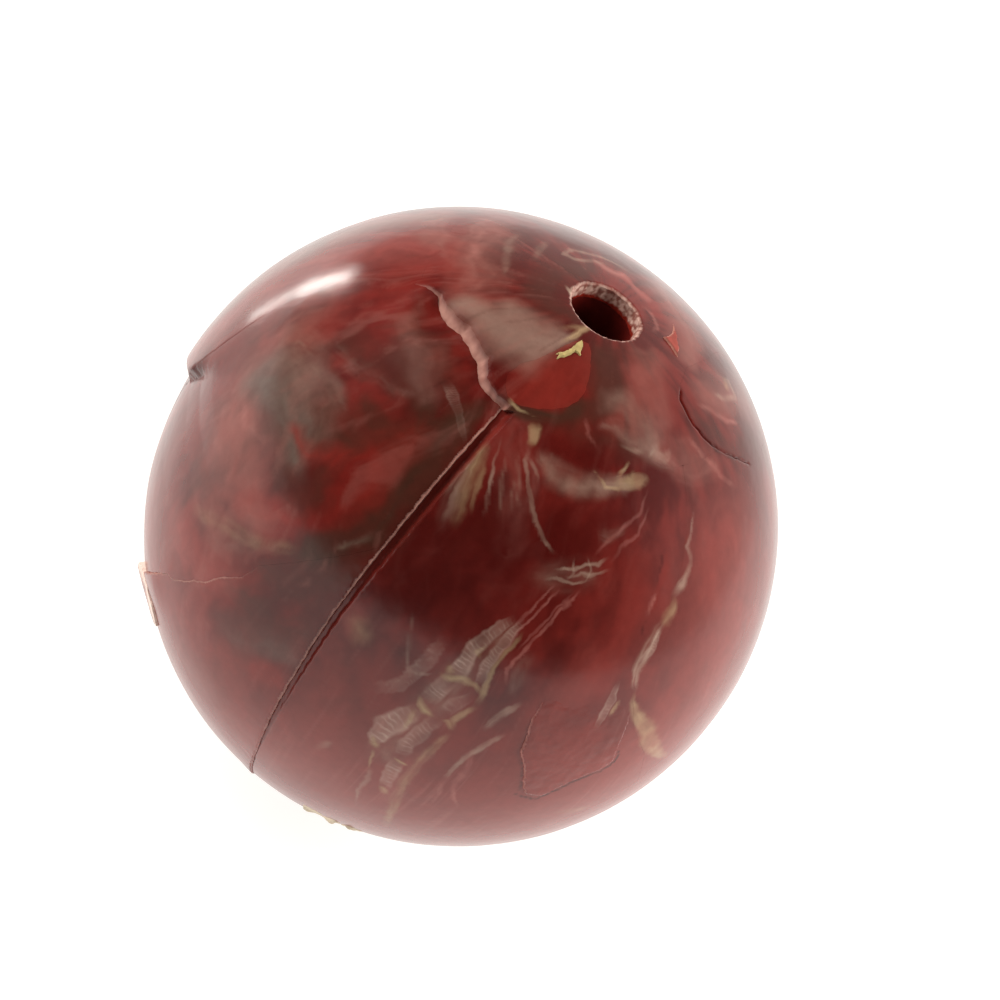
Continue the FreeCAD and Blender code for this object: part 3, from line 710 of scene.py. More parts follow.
# Finer marks, drawn over the clouds: veils, feathers and veins.
VEINS = [
    # the yellow feather beside the crack
    (STRAW, 0.62, 0.9, 0.45, [(-6.6, 53.5, 0.15, 0.5), (-5.8, 50, 0.45), (-4.8, 47, 0.65),
        (-3.6, 43.5, 0.75, 0.8), (-2, 40, 0.6, 0.5), (-0.2, 36.5, 0.35, 0)]),
    (BONE, 0.40, 1.0, 0.6, [(-6.8, 50, 0.2, 0.4), (-6.2, 46, 0.6), (-5.2, 42, 0.8),
        (-3.2, 37.5, 0.7, 0.5), (-1.6, 34.5, 0.4, 0)]),
    (STRAW, 0.45, 0.9, 0.3, [(-5.2, 52, 0.12, 0.3), (-2.6, 47.5, 0.25), (-0.8, 43.5, 0.25, 0.8),
        (0.8, 40, 0.16, 0)]),
    (BONE, 0.40, 0.9, 0.2, [(-3.2, 52, 0.10, 0.3), (0.0, 47.5, 0.18), (2.4, 43.6, 0.18, 0.7),
        (3.4, 41, 0.12, 0)]),
    (BONE, 0.30, 0.9, 0.2, [(-1, 53, 0.10, 0.3), (2.6, 48, 0.15), (5.4, 44, 0.15, 0.6),
        (6.6, 41.6, 0.1, 0)]),
    (BONE, 0.30, 0.9, 0.2, [(-4.6, 55, 0.10, 0.3), (-1.6, 50, 0.16), (1, 46, 0.16),
        (2.2, 43, 0.1, 0)]),
    (BONE, 0.25, 0.9, 0.2, [(1.4, 55, 0.10, 0.3), (5, 50.6, 0.16), (8.4, 47, 0.14),
        (10.4, 44.6, 0.1, 0)]),
    (BONE, 0.22, 0.9, 0.2, [(3, 51.6, 0.08, 0.3), (6.4, 47.4, 0.12), (9, 43.6, 0.1, 0)]),
    # the long thin streak from the crown
    (STRAW, 0.70, 0.8, 0.3, [(1.6, 60.2, 0.45), (2.8, 59.2, 0.55), (3.8, 57.6, 0.4),
        (4.4, 55.8, 0.25, 0.6)]),
    (BONE, 0.42, 0.8, 0.2, [(4.2, 56.4, 0.22), (5.0, 53.6, 0.2), (8.2, 50.6, 0.18),
        (11.8, 47.4, 0.18), (15.5, 44.6, 0.2), (19.2, 42.6, 0.18), (22.6, 41.4, 0.14, 0.3)]),
    (BONE, 0.35, 0.9, 0.2, [(4.8, 54.6, 0.15), (7.6, 53.6, 0.2), (11, 51.2, 0.15, 0.4)]),
    # the pale band with its yellow end
    (BONE, 0.52, 1.0, 0.5, [(6.4, 57.4, 0.5, 0.3), (9.6, 55.4, 0.9, 0.7), (14.8, 54.0, 1.2),
        (21, 53.8, 1.25), (28, 54.6, 1.1), (35, 55.8, 0.9), (41, 56.8, 0.6, 0.5)]),
    (STRAW, 0.80, 0.8, 0.3, [(31, 55.2, 0.2, 0.4), (35, 55.8, 0.45), (40, 56.8, 0.65),
        (44.2, 57.2, 0.5), (45.6, 56.2, 0.25)]),
    (STRAW, 0.65, 0.7, 0.1, [(26, 56.8, 0.12, 0.5), (30.5, 54.8, 0.15), (34.5, 54.8, 0.2),
        (38, 55.6, 0.2, 0.5)]),
    (STRAW, 0.60, 0.7, 0.1, [(34.2, 57.2, 0.18), (36.2, 58.6, 0.18), (38.6, 60.2, 0.12, 0.3)]),
    (BONE, 0.60, 0.9, 0.6, [(47, 61, 0.2), (50, 62.2, 0.45), (53, 64, 0.3)]),
    (BONE, 0.60, 0.9, 0.6, [(50, 62, 0.4), (54, 61, 0.4), (58, 62.5, 0.2)]),
    (BONE, 0.35, 0.9, 0.3, [(34, 62.6, 0.12), (40, 62.2, 0.25), (46, 62, 0.3)]),
    (PINK, 0.30, 0.9, 0.3, [(18, 66, 0.15), (21, 63, 0.2), (26, 60.5, 0.15)]),
    (STRAW, 0.50, 1.0, 0.3, [(-6.4, 16, 0.5), (-4.8, 14.2, 1.0), (-3.2, 12.6, 1.0),
        (-1.6, 11.2, 0.4)]),
    (ROSE, 0.55, 1.0, 0.2, [(-6.6, 18, 1.0), (-6.4, 13, 1.7), (-5.2, 9, 1.3)]),
    # the pale vein along the right-hand seam
    (BONE, 0.45, 0.9, 0.2, [(62, 52, 0.12, 0.3), (60, 48.5, 0.18), (58.2, 45.6, 0.2),
        (59.2, 43, 0.25), (58, 40.6, 0.3)]),
    (BONE, 0.70, 0.8, 0.5, [(59, 43, 0.3), (57.6, 40.4, 0.4), (55.4, 38.4, 0.5), (53.8, 37, 0.4)]),
    (STRAW, 0.70, 0.7, 0.4, [(54.2, 37.4, 0.3), (54.2, 35.2, 0.55), (52.8, 33.6, 0.65),
        (51.4, 32.2, 0.4)]),
    (BONE, 0.75, 0.8, 0.7, [(52.4, 33.4, 0.35), (50.8, 31.4, 0.5), (49.8, 29.4, 0.6),
        (49.0, 27, 0.65), (48.2, 24.4, 0.5), (48.6, 21.6, 0.35), (49.4, 19.4, 0.25)]),
    (STRAW, 0.80, 0.7, 0.3, [(49.2, 20, 0.2), (49.6, 17.8, 0.35), (51.2, 15.4, 0.55),
        (53.4, 13.4, 0.6), (55.6, 11.8, 0.85), (58, 8.8, 0.95), (60.4, 6, 0.75), (63.6, 3.4, 0.45),
        (69, 0, 0.25, 0.5)]),
    (ROSE, 0.50, 0.9, 0.1, [(58.6, 9.4, 0.3), (60.4, 6.6, 0.4), (61.6, 5, 0.25)]),
    (STRAW, 0.60, 0.7, 0.2, [(46.2, 18.6, 0.14), (46.2, 16.6, 0.28), (45.6, 14.6, 0.16)]),
    # the flaky red rift left of it, with no relief of its own: painted shadow lines, and a pale pink
    # line that is partly its broken edge and partly a painted highlight on its raised side
    (PAINTED_SHADE, 0.75, 0.6, 0.1, [(50.4, 46.4, 0.08), (49.8, 43.6, 0.12), (49.4, 41, 0.10),
        (48.4, 38.6, 0.08)]),
    (RED, 0.60, 0.8, 0.3, [(51.4, 46, 0.3), (50.8, 42, 0.4), (49.6, 38, 0.35), (48.4, 34, 0.25)]),
    (PINK, 0.50, 0.7, 0.3, [(49.4, 38.6, 0.15), (48.2, 36, 0.2), (47.2, 33.4, 0.12)]),
    (PAINTED_SHADE, 0.60, 0.6, 0.1, [(47.8, 33.6, 0.08), (47.2, 32, 0.10), (46.8, 30.4, 0.06)]),
    # fine double lines above and below the crackle
    (PINK, 0.38, 0.9, 0.2, [(46, 56, 0.10), (42.4, 51.6, 0.18), (37, 48.4, 0.2), (33, 45.6, 0.2),
        (31, 43, 0.15)]),
    (PINK, 0.38, 0.9, 0.2, [(45.6, 53, 0.10), (42, 48, 0.16), (38, 45.4, 0.2), (35.6, 42.6, 0.15)]),
    (ASH, 0.50, 1.0, 0.6, [(30, 46.6, 0.4), (34, 47, 0.6), (39, 49, 0.4)]),
    (BONE, 0.18, 1.0, 0.7, [(17, 36.2, 0.9, 0.5), (22, 37.2, 1.4), (28, 39.2, 1.5), (35, 41, 1.0)]),
    (BONE, 0.70, 0.8, 0.3, [(22.4, 38.8, 0.08), (25, 40.1, 0.14), (27.4, 40.3, 0.18),
        (29.4, 41.4, 0.14), (32.6, 41.9, 0.2), (35.4, 43.6, 0.12)]),
    (BONE, 0.55, 0.8, 0.4, [(25.4, 38.2, 0.08), (29, 39.8, 0.16), (31.6, 39.9, 0.18),
        (36.6, 41.8, 0.1)]),
    (BONE, 0.45, 0.8, 0.4, [(21, 36.6, 0.08), (24, 37.8, 0.14), (28, 37.9, 0.16), (32, 39.4, 0.1)]),
    (BONE, 0.50, 0.8, 0.2, [(29.6, 42.6, 0.08), (31.4, 40.6, 0.14), (30.6, 38.8, 0.1)]),
    (BONE, 0.40, 0.8, 0.2, [(26.4, 42, 0.08), (27.2, 39.6, 0.12), (26.2, 38, 0.08)]),
    (PINK, 0.50, 0.8, 0.1, [(26, 37, 0.10), (23.4, 32.4, 0.12), (21.4, 28.4, 0.14),
        (20.4, 24.6, 0.14), (19.4, 20.4, 0.12)]),
    (PINK, 0.45, 0.8, 0.1, [(24.6, 37.4, 0.10), (22, 32.6, 0.12), (20, 28.4, 0.12), (19, 26, 0.1)]),
    (PINK, 0.50, 0.8, 0.2, [(30.4, 37.4, 0.12), (27.6, 33.4, 0.16), (25.4, 28.6, 0.18),
        (23.4, 24, 0.18), (22.2, 20, 0.16), (23.6, 17.4, 0.12)]),
    (PINK, 0.35, 0.8, 0.2, [(28.6, 36.4, 0.10), (26, 32, 0.12), (24, 28, 0.14), (22, 23.6, 0.14)]),
    (ASH, 0.40, 1.0, 0.6, [(25, 25, 0.5), (24.4, 20.6, 0.9), (25.4, 15, 0.6)]),
    # veins beside and below the ladder
    (STRAW, 0.60, 0.8, 0.2, [(22.2, 27.6, 0.10, 0.4), (20.8, 24, 0.22), (20, 20, 0.22),
        (20.2, 16.6, 0.26), (20.6, 13.6, 0.3), (20.6, 11.4, 0.3)]),
    (STRAW, 0.70, 0.8, 0.2, [(20.8, 11.8, 0.25), (19.4, 9.4, 0.35), (18.4, 7.4, 0.35),
        (18.8, 5, 0.3)]),
    (STRAW, 0.50, 0.9, 0.6, [(18.8, 5, 0.3), (18.2, 0.8, 0.45), (17.4, -4.4, 0.5), (17.6, -10, 0.5),
        (18.6, -15.4, 0.5), (20.4, -22, 0.45), (23, -30, 0.3)]),
    (BONE, 0.28, 1.0, 0.6, [(20, 29, 0.8), (16.4, 20, 1.5), (14, 9, 1.8), (11.6, 0, 2.0),
        (12.6, -10, 1.3)]),
    (PINK, 0.35, 1.0, 0.4, [(17.4, 0, 0.8), (16.8, -6, 1.0), (17, -12, 1.0), (18, -20, 0.8)]),
    (BONE, 0.60, 0.8, 0.5, [(28, 15, 0.2), (26.2, 12.6, 0.35), (24.8, 10.2, 0.4), (23.8, 7, 0.2)]),
    (BONE, 0.65, 0.8, 0.4, [(28, 8.2, 0.15), (25.8, 5, 0.3), (24.2, 2, 0.3), (23.2, -1.6, 0.25),
        (23.2, -6, 0.2)]),
    (PINK, 0.50, 0.8, 0.3, [(23.4, -6, 0.2), (24, -10, 0.25), (24.8, -15, 0.15)]),
    (PINK, 0.45, 0.8, 0.4, [(24.2, 3, 0.25), (25.6, -2.6, 0.4), (25.4, -6, 0.35), (26.6, -9.8, 0.2),
        (29.4, -13, 0.12)]),
    (BONE, 0.45, 1.0, 0.3, [(11.4, -10.4, 0.15), (12, -14.4, 0.35), (12.4, -18.6, 0.2),
        (14, -25, 0.12)]),
    (BONE, 0.35, 1.0, 0.4, [(3.2, -9.6, 0.3), (2.4, -12, 0.4), (1, -15, 0.2)]),
    (BONE, 0.30, 0.9, 0.2, [(1.6, 22, 0.10), (4, 17, 0.15), (6.4, 12.6, 0.2), (8.6, 11, 0.2)]),
    (BONE, 0.30, 0.9, 0.2, [(6.4, 12.6, 0.10), (9.4, 12.8, 0.15), (11, 14, 0.1)]),
    (STRAW, 0.30, 1.0, 0.3, [(48, -11, 0.4), (53, -10.8, 0.5), (57, -10.5, 0.3)]),
    # the smoky gore's wisps
    (STRAW, 0.22, 1.0, 0.7, [(-45, 2, 0.4), (-41, 4, 0.7), (-36, 7, 0.8), (-30, 10, 0.8),
        (-25, 14, 0.7), (-21, 17, 0.4)]),
    (ASH, 0.35, 1.0, 0.7, [(-39, 3, 0.7), (-35, 4, 1.0), (-31, 8, 1.0), (-27, 11.5, 0.6)]),
    (ASH, 0.30, 1.0, 0.8, [(-58, 31, 0.9), (-50, 36, 0.8), (-42, 38, 0.8), (-35, 37.5, 0.4)]),
    (ASH, 0.28, 1.0, 0.8, [(-62, 36, 0.9), (-52, 41, 0.7), (-44, 43, 0.8), (-34, 47, 0.6),
        (-28, 50, 0.3)]),
    (ASH, 0.25, 1.0, 0.8, [(-60, 27, 0.8), (-54, 32, 0.6), (-45, 33, 0.6), (-37, 31, 0.4)]),
    (BONE, 0.25, 1.0, 0.5, [(-17, 21, 0.3), (-14, 25, 0.4), (-12.4, 29, 0.3)]),
    (PINK, 0.30, 1.0, 0.6, [(-55, 22, 0.3), (-48, 20, 0.5), (-40, 24, 0.4)]),
    # the crown's streaks and swirls
    (STRAW, 0.70, 0.8, 0.2, [(-11.5, 60.8, 0.16), (-8.6, 60.4, 0.18), (-5, 60.4, 0.16),
        (-1, 60.6, 0.1)]),
    (STRAW, 0.95, 0.9, 0.3, [(-4, 84.4, 0.30), (-10, 81.6, 0.34), (-12.4, 78.4, 0.26),
        (-13.4, 74.6, 0.14, 0.4)]),
    (BONE, 1.00, 0.8, 0.1, [(-87, 81.6, 0.12), (-79, 82.8, 0.2), (-63, 83.6, 0.25),
        (-50, 83.8, 0.2)]),
    (BONE, 0.90, 0.8, 0.1, [(-98, 83, 0.08), (-84, 83, 0.16), (-66, 83.4, 0.2)]),
    (STRAW, 0.35, 0.9, 0.2, [(-6, 83.6, 0.3), (-18, 80.6, 0.3), (-26, 77, 0.2, 0.3)]),
    (BONE, 0.40, 0.9, 0.3, [(-165, 74.5, 0.25), (-150, 76, 0.3), (-135, 76.8, 0.25),
        (-128, 75, 0.25), (-138, 73.4, 0.25), (-160, 72.5, 0.25), (176, 71.6, 0.2)]),
    (BONE, 0.35, 0.9, 0.5, [(-128, 70, 0.3), (-115, 72.6, 0.4), (-100, 74.6, 0.3)]),
    (BONE, 0.30, 0.9, 0.5, [(-120, 66, 0.3), (-105, 68, 0.4), (-90, 70.6, 0.4), (-74, 71, 0.2)]),
    (PINK, 0.35, 0.9, 0.5, [(-108, 62, 0.3), (-95, 63.4, 0.4), (-82, 66, 0.3)]),
    (PINK, 0.50, 0.8, 0.2, [(108, 80.6, 0.14), (122, 79.2, 0.2), (138, 79.4, 0.2),
        (152, 80.6, 0.12)]),
    (PINK, 0.45, 0.9, 0.3, [(84, 68, 0.2), (92, 64.5, 0.3), (97, 60.5, 0.3), (104, 57, 0.25)]),
    (BONE, 0.45, 0.9, 0.3, [(100, 66, 0.2), (107, 62, 0.3), (114, 58.5, 0.3), (119, 60.5, 0.25),
        (116, 64, 0.2)]),
    (STRAW, 0.40, 0.9, 0.3, [(112, 62, 0.4), (118, 61, 0.5)]),
    (PINK, 0.35, 0.9, 0.3, [(68, 64, 0.2), (72, 60, 0.3), (78, 55, 0.3), (84, 51, 0.2)]),
]

# Ragged lines of painted shadow: under the tongue's lower edge and along the rift and the scale's crack.
PAINTED_SHADOW_LINES = [
    (PAINTED_SHADE, 0.85, 0.5, 0.1, [(36.8, -5.2, 0.08), (38.6, -6.0, 0.16), (41.8, -6.0, 0.2),
        (44.2, -3.2, 0.2), (46, -1.1, 0.22), (48, 0.6, 0.2), (50.5, 1.9, 0.2), (52.3, 4.2, 0.16),
        (51.8, 8, 0.06)]),
    (PAINTED_SHADE, 0.50, 1.0, 0.1, [(76, 68, 0.10), (76, 64.5, 0.16), (81, 59, 0.2), (88, 55.6, 0.2),
        (96, 53, 0.12)]),
    (PAINTED_SHADE, 0.55, 0.8, 0.1, [(32.6, 4.8, 0.04), (33.6, 3, 0.10), (35.6, -0.6, 0.10),
        (37.2, -4.4, 0.12)]),
]

# The crackled ribbons: (spacing of the bars in mm, strength, path).
LADDERS = [
    (0.42, 1.0, [(18.8, 28.4, 0.35, 0.6), (17.2, 26.6, 0.6), (16, 24, 0.8), (14.8, 21, 0.8),
        (14.6, 18, 0.9), (14.4, 15.4, 1.0)]),
    (0.34, 0.8, [(21, 29.2, 0.3, 0.5), (19.8, 26, 0.5), (18.8, 22, 0.55), (18.4, 19, 0.6),
        (19, 15.4, 0.6)]),
    (0.40, 0.9, [(14.2, 14.6, 0.9, 0.7), (13.2, 11.8, 1.0), (12.6, 8.6, 1.0, 0.8)]),
    (0.55, 0.8, [(18.8, 13, 0.5, 0.6), (17.2, 10.4, 0.8), (16.4, 8, 0.6)]),
    (0.62, 1.0, [(12.2, 6.6, 0.9, 0.8), (10.6, 3.4, 1.3), (9.2, 0.2, 1.3), (8.8, -3, 0.9),
        (9.4, -5.4, 0.35)]),
    (0.48, 0.8, [(16, 6.4, 0.6, 0.5), (14.8, 2.6, 0.9), (13.8, -1.6, 0.9), (14.2, -5, 0.6)]),
    (0.50, 0.9, [(14.4, -6.4, 0.7, 0.7), (14.8, -10.6, 0.8), (15.6, -14.6, 0.6)]),
    (0.45, 0.9, [(44.6, 22, 0.25), (44.7, 18.6, 0.5), (44.2, 15.2, 0.5), (43.6, 12.2, 0.25)]),
    (0.24, 0.35, [(-28.4, 55, 0.5, 0.9), (-24, 54.6, 0.55), (-19, 53.4, 0.4, 0.7),
        (-14, 51.4, 0.3, 0.5), (-10.6, 49.6, 0.2, 0.3)]),
    (0.36, 0.5, [(9.6, 21, 0.5, 0.4), (8.6, 15, 0.8), (7.2, 9, 0.7), (3.4, 5.4, 0.5, 0.5)]),
    (0.30, 0.7, [(51.6, 31.6, 0.2), (50.4, 28, 0.45), (48, 25.4, 0.3)]),
]
# Yellow nodes where the ribbons pinch.
NODES = [
    (0.75, [(11.4, 14.6, 0.2), (13.4, 14.2, 0.4), (16, 15.2, 0.4), (18.4, 15.2, 0.3),
        (20.8, 14, 0.3)]),
    (0.70, [(12.4, 16.8, 0.35), (13.6, 15, 0.5)]),
    (0.80, [(10.6, 9.4, 0.15), (12, 7.8, 0.4), (13.6, 6.8, 0.45), (15.6, 6.4, 0.2)]),
    (0.50, [(11.6, 6.6, 0.5), (12, 3.6, 0.4), (11.6, 0.6, 0.2)]),
    (0.85, [(7.8, -3, 0.2), (9, -4.6, 0.5), (10.4, -5.6, 0.35)]),
    (0.60, [(9.6, -6, 0.25), (10.6, -9.4, 0.14), (11.4, -12, 0.1)]),
    (0.70, [(13.6, -6, 0.15), (15, -6.4, 0.2), (16.4, -6.2, 0.12)]),
    (0.80, [(14.8, -14.6, 0.2), (16, -15.6, 0.4), (17.2, -16, 0.2)]),
    (0.50, [(17, 22.6, 0.15), (15.8, 21, 0.25), (17, 20, 0.15)]),
    (0.50, [(18.8, 5.2, 0.35), (17.6, 6.6, 0.3), (16.4, 6.4, 0.15)]),
]
RIB = linear("bfa697")
GOLD = linear("b8a57a")


def lay(paint, colour, alpha):
    """Lays a colour over the paint."""
    return paint + (colour - paint) * np.clip(alpha, 0, 1)[:, None]


def daub(points, paint, mark, seed, spread=1.0, faint=1.0):
    """Lays one soft mark, with fibres along its path."""
    colour, strength, softness, fibres, path = mark
    strength = strength * faint
    path = [(step[0], step[1], step[2] * spread, *step[3:]) for step in path]
    some = np.flatnonzero(close_to(points, path))
    share, along, across, force = stroke(points[some], path)
    near = share < 1
    some, share, along, across, force = some[near], share[near], along[near], across[near], force[near]
    if len(some) == 0:
        return paint
    width = np.abs(across / np.maximum(share, 1e-6))
    fine = np.clip(1.1 / np.maximum(width, 0.2), 0.5, 3.0)

    def fibre(lengthwise, sideways, level):
        places = [along * lengthwise, across * sideways * fine, np.full(len(some), level)]
        return noise(np.stack(places, 1), 1, seed)

    threads = fibre(0.3, 2.2, float(seed)) + 0.5 * fibre(0.7, 4.5, 9.0)
    grain = np.clip(1 - fibres + fibres * (0.55 + 0.9 * threads), 0, 1.2)
    alpha = strength * force * (1 - smooth(share, min(1 - softness, 0.2), 1)) * grain
    if spread > 1:
        end = along.max()
        tip = min(1.6, 0.35 * end)
        alpha *= smooth(along, -0.1, tip) * (1 - smooth(along, end - tip, end + 0.1))
        alpha *= 0.62 + 0.5 * smooth(noise(points[some] * BALL, 0.7, seed + 5), -0.5, 0.4)
    paint[some] = lay(paint[some], colour, alpha)
    return paint


def ladder(points, paint, ribbon, seed):
    """Lays a crackled ribbon: a thin veil, faint rails along it and fine bars across it."""
    spacing, strength, path = ribbon
    some = np.flatnonzero(close_to(points, path))
    share, along, across, force = stroke(points[some], path)
    near = share < 1
    some, share, along, across, force = some[near], share[near], along[near], across[near], force[near]
    if len(some) == 0:
        return paint
    here = points[some] * BALL
    uneven = layered(here, 0.9, seed, 2)
    bars = np.sin((along + 0.10 * uneven + 0.10 * across) * 2 * math.pi / spacing)
    patchy = 0.5 + 0.5 * smooth(noise(here, 0.6, seed + 1), -0.4, 0.4)
    seen = smooth(noise(here, 0.9, seed + 2), -0.35, 0.45)
    inner = (1 - smooth(share, 0.45, 1.0)) * (1 + 0.35 * layered(here, 0.8, seed + 3, 3))
    rails = 0.22 * np.exp(-((share - 0.75) / 0.18) ** 2)
    lines = 0.24 * smooth(bars, -0.1, 1.0) * inner * seen
    end = along.max()
    tips = smooth(along, -0.2, 1.2) * (1 - smooth(along, end - 1.2, end + 0.2))
    alpha = strength * force * (0.25 * inner + rails + lines) * patchy * tips
    paint[some] = lay(paint[some], RIB, alpha)
    return paint


def ground(moved, level, back):
    """The plastic's dark base, with looser clouds over the back."""
    here = moved * BALL
    paint = np.tile(DEEP, (len(moved), 1))
    paint = lay(paint, OXBLOOD, smooth(level, -0.6, 0.8) * 0.9)
    paint = lay(paint, ROSE, back * 0.8 * smooth(layered(here, 0.14, 89, 3), -0.3, 0.6))
    paint = lay(paint, UMBER, back * 0.8 * smooth(layered(here, 0.16, 90, 3), 0.1, 0.6))
    return lay(paint, ASH, back * 0.7 * smooth(layered(here, 0.21, 94, 4), 0.3, 0.9))


def smoke_and_threads(paint, here, lon, lat, drift, around, back):
    """Smoky folds along the meridians, the pinker lower half and its faint parallel threads."""
    smoky = np.maximum(back, np.where((lon < -9) & (lon > -140) & (lat < 80), 1.0, 0.25))
    bent = np.radians(lon) + 0.10 * layered(here, 0.13, 92, 2)
    sheet = np.stack([np.cos(bent) * 26, np.sin(bent) * 26, lat * 0.12 + 1.2 * drift[:, 0]], 1)
    folds = layered(sheet, 0.35, 97, 4, 0.6)
    paint = lay(paint, MAUVE, 0.26 * smoky * smooth(folds, 0.05, 0.9))
    paint = lay(paint, UMBER, 0.30 * smoky * smooth(-folds, 0.1, 0.9))
    low = smooth(-lat, -6, 30) + (smooth(-lat, -22, 22) - smooth(-lat, -6, 30)) * smooth(lon, -10, 2)
    paint = lay(paint, ROSE, 0.75 * low + 0.35 * smooth(lon, 20, 60) * smooth(-lat, -60, -30))
    threads = layered(np.stack([around[:, 0] * 60, around[:, 1] * 60, lat * 0.05], 1), 1, 98, 2)
    faint = 0.14 * smooth(threads, 0.2, 0.9) * smooth(-lat, -30, 10) * smooth(lon, -30, 10)
    return lay(paint, PINK, faint)


def marbling(points):
    """The cover's colour at each direction, as linear light, with painted shadow lines where a few small
    steps have no relief and a painted highlight on the rift's raised side.
    """
    here = points * BALL
    lon, lat = lon_lat(points)
    drift = np.stack([layered(here, 0.22, 70 + axis, 3) for axis in range(3)], 1)
    wobble = np.stack([layered(here, 0.9, 110 + axis, 3) for axis in range(3)], 1)
    moved = unit(here + 1.1 * drift)
    slight = unit(points + (0.12 * drift + 0.15 * wobble) / BALL)
    around = np.stack([np.cos(np.radians(lon)), np.sin(np.radians(lon)), lat * 0.012], 1)
    level = layered(around + 0.02 * drift, 9, 80, 3) + 0.9 * layered(here, 0.11, 84, 3)
    back = 1 - smooth(points @ direction(0, 38), -0.40, -0.02)
    paint = ground(moved, level, back)
    for number, mark in enumerate(CLOUDS):
        paint = daub(moved, paint, mark, 100 + number)
    paint = smoke_and_threads(paint, here, lon, lat, drift, around, back)
    for number, mark in enumerate(VEINS):
        paint = daub(slight, paint, mark, 300 + number, 1.45, 0.62)
    # painted shadow lines, drawn over the veins
    for number, mark in enumerate(PAINTED_SHADOW_LINES):
        paint = daub(slight, paint, mark, 400 + number)
    for number, ribbon in enumerate(LADDERS):
        paint = ladder(slight, paint, ribbon, 500 + number)
    for number, (strength, path) in enumerate(NODES):
        paint = daub(slight, paint, (GOLD, strength, 1.0, 0.35, path), 600 + number, 1.35, 0.6)
    return paint


# ---------------------------------------------------------------- materials

CHALK = linear("ab7d71")
DUSK = linear("7e4c43")
RIM = linear("c2a195")
# the dark inside colour of broken walls, also laid as painted shade on the open crack's floor
INSIDE_AND_CRACK_SHADE = linear("66201a")
BORE_RED = linear("7a231a")
PATCH_RED = linear("74261e")
FLAKE_PINK = linear("b88375")
CHIP_STRAW = linear("a39261")
FRINGE = linear("cdbda6")
# painted light: the near white of light shining through the thin edge flap
FLAP_PAINTED_LIGHT = linear("e2cdc1")


def add(tree, kind, **inputs):
    """A shader node with its unlinked inputs set by name."""
    node = tree.nodes.new(kind)
    for name, value in inputs.items():
        node.inputs[name.replace("_", " ")].default_value = value
    return node


def new_material(name, **inputs):
    """An empty material, its node tree and its shader."""
    material = bpy.data.materials.new(name)
    material.use_nodes = True
    tree = material.node_tree
    tree.nodes.clear()
    out = tree.nodes.new("ShaderNodeOutputMaterial")
    shader = add(tree, "ShaderNodeBsdfPrincipled", **inputs)
    tree.links.new(shader.outputs["BSDF"], out.inputs["Surface"])
    return material, tree, shader


def painted_plastic(name, gloss, dull, grain):
    """Marbled cast resin: its paint and its bare, broken parts come from the mesh."""
    material, tree, shader = new_material(name, IOR=1.42)
    paint = tree.nodes.new("ShaderNodeAttribute")
    paint.attribute_name = "paint"
    bare = tree.nodes.new("ShaderNodeAttribute")
    bare.attribute_name = "bare"
    place = tree.nodes.new("ShaderNodeTexCoord")
    speck = add(tree, "ShaderNodeTexNoise", Scale=1100.0, Detail=4.0, Roughness=0.65)
    tree.links.new(place.outputs["Object"], speck.inputs["Vector"])
    level = add(tree, "ShaderNodeMapRange", From_Min=0.25, From_Max=0.75,
                To_Min=1 - grain, To_Max=1 + grain)
    tree.links.new(speck.outputs["Fac"], level.inputs["Value"])
    tint = tree.nodes.new("ShaderNodeVectorMath")
    tint.operation = "SCALE"
    tree.links.new(paint.outputs["Color"], tint.inputs[0])
    tree.links.new(level.outputs["Result"], tint.inputs["Scale"])
    tree.links.new(tint.outputs["Vector"], shader.inputs["Base Color"])
    rough = add(tree, "ShaderNodeMapRange", To_Min=gloss, To_Max=dull)
    tree.links.new(bare.outputs["Fac"], rough.inputs["Value"])
    tree.links.new(rough.outputs["Result"], shader.inputs["Roughness"])
    return material


def plain_plastic(name, colour, darker, gloss, scale):
    """One colour with a soft uneven tone, for the core and the loose flakes."""
    material, tree, shader = new_material(name, IOR=1.5, Roughness=gloss)
    place = tree.nodes.new("ShaderNodeTexCoord")
    cloud = add(tree, "ShaderNodeTexNoise", Scale=scale, Detail=5.0, Roughness=0.6)
    tree.links.new(place.outputs["Object"], cloud.inputs["Vector"])
    ramp = tree.nodes.new("ShaderNodeValToRGB")
    ramp.color_ramp.elements[0].position = 0.3
    ramp.color_ramp.elements[0].color = (*darker, 1)
    ramp.color_ramp.elements[1].position = 0.7
    ramp.color_ramp.elements[1].color = (*colour, 1)
    tree.links.new(cloud.outputs["Fac"], ramp.inputs["Fac"])
    tree.links.new(ramp.outputs["Color"], shader.inputs["Base Color"])
    return material


COVER = painted_plastic("marbled_cover", 0.21, 0.65, 0.09)
CHIPS = painted_plastic("broken_flakes", 0.45, 0.75, 0.12)
CORE_RED = plain_plastic("core_red", linear("611712"), linear("400d0b"), 0.6, 260.0)


# ---------------------------------------------------------------- the cover's plates

PLATES = {
    "crown_plate": ("cover_smoky", 12),
    "round_patch": ("cover_oxblood", 3),
    "scale_plate": ("cover_oxblood", 3),
    "top_sliver": ("cover_smoky", 3),
    "left_plate": ("cover_smoky", 4),
    "lower_left_plate": ("cover_oxblood", 4),
    "front_plate": ("cover_oxblood", 4),
    "right_plate": ("cover_oxblood", 3),
    "back_right_plate": ("cover_oxblood", 3),
    "back_left_plate": ("cover_oxblood", 3),
    "upper_left_plate": ("cover_oxblood", 3),
}


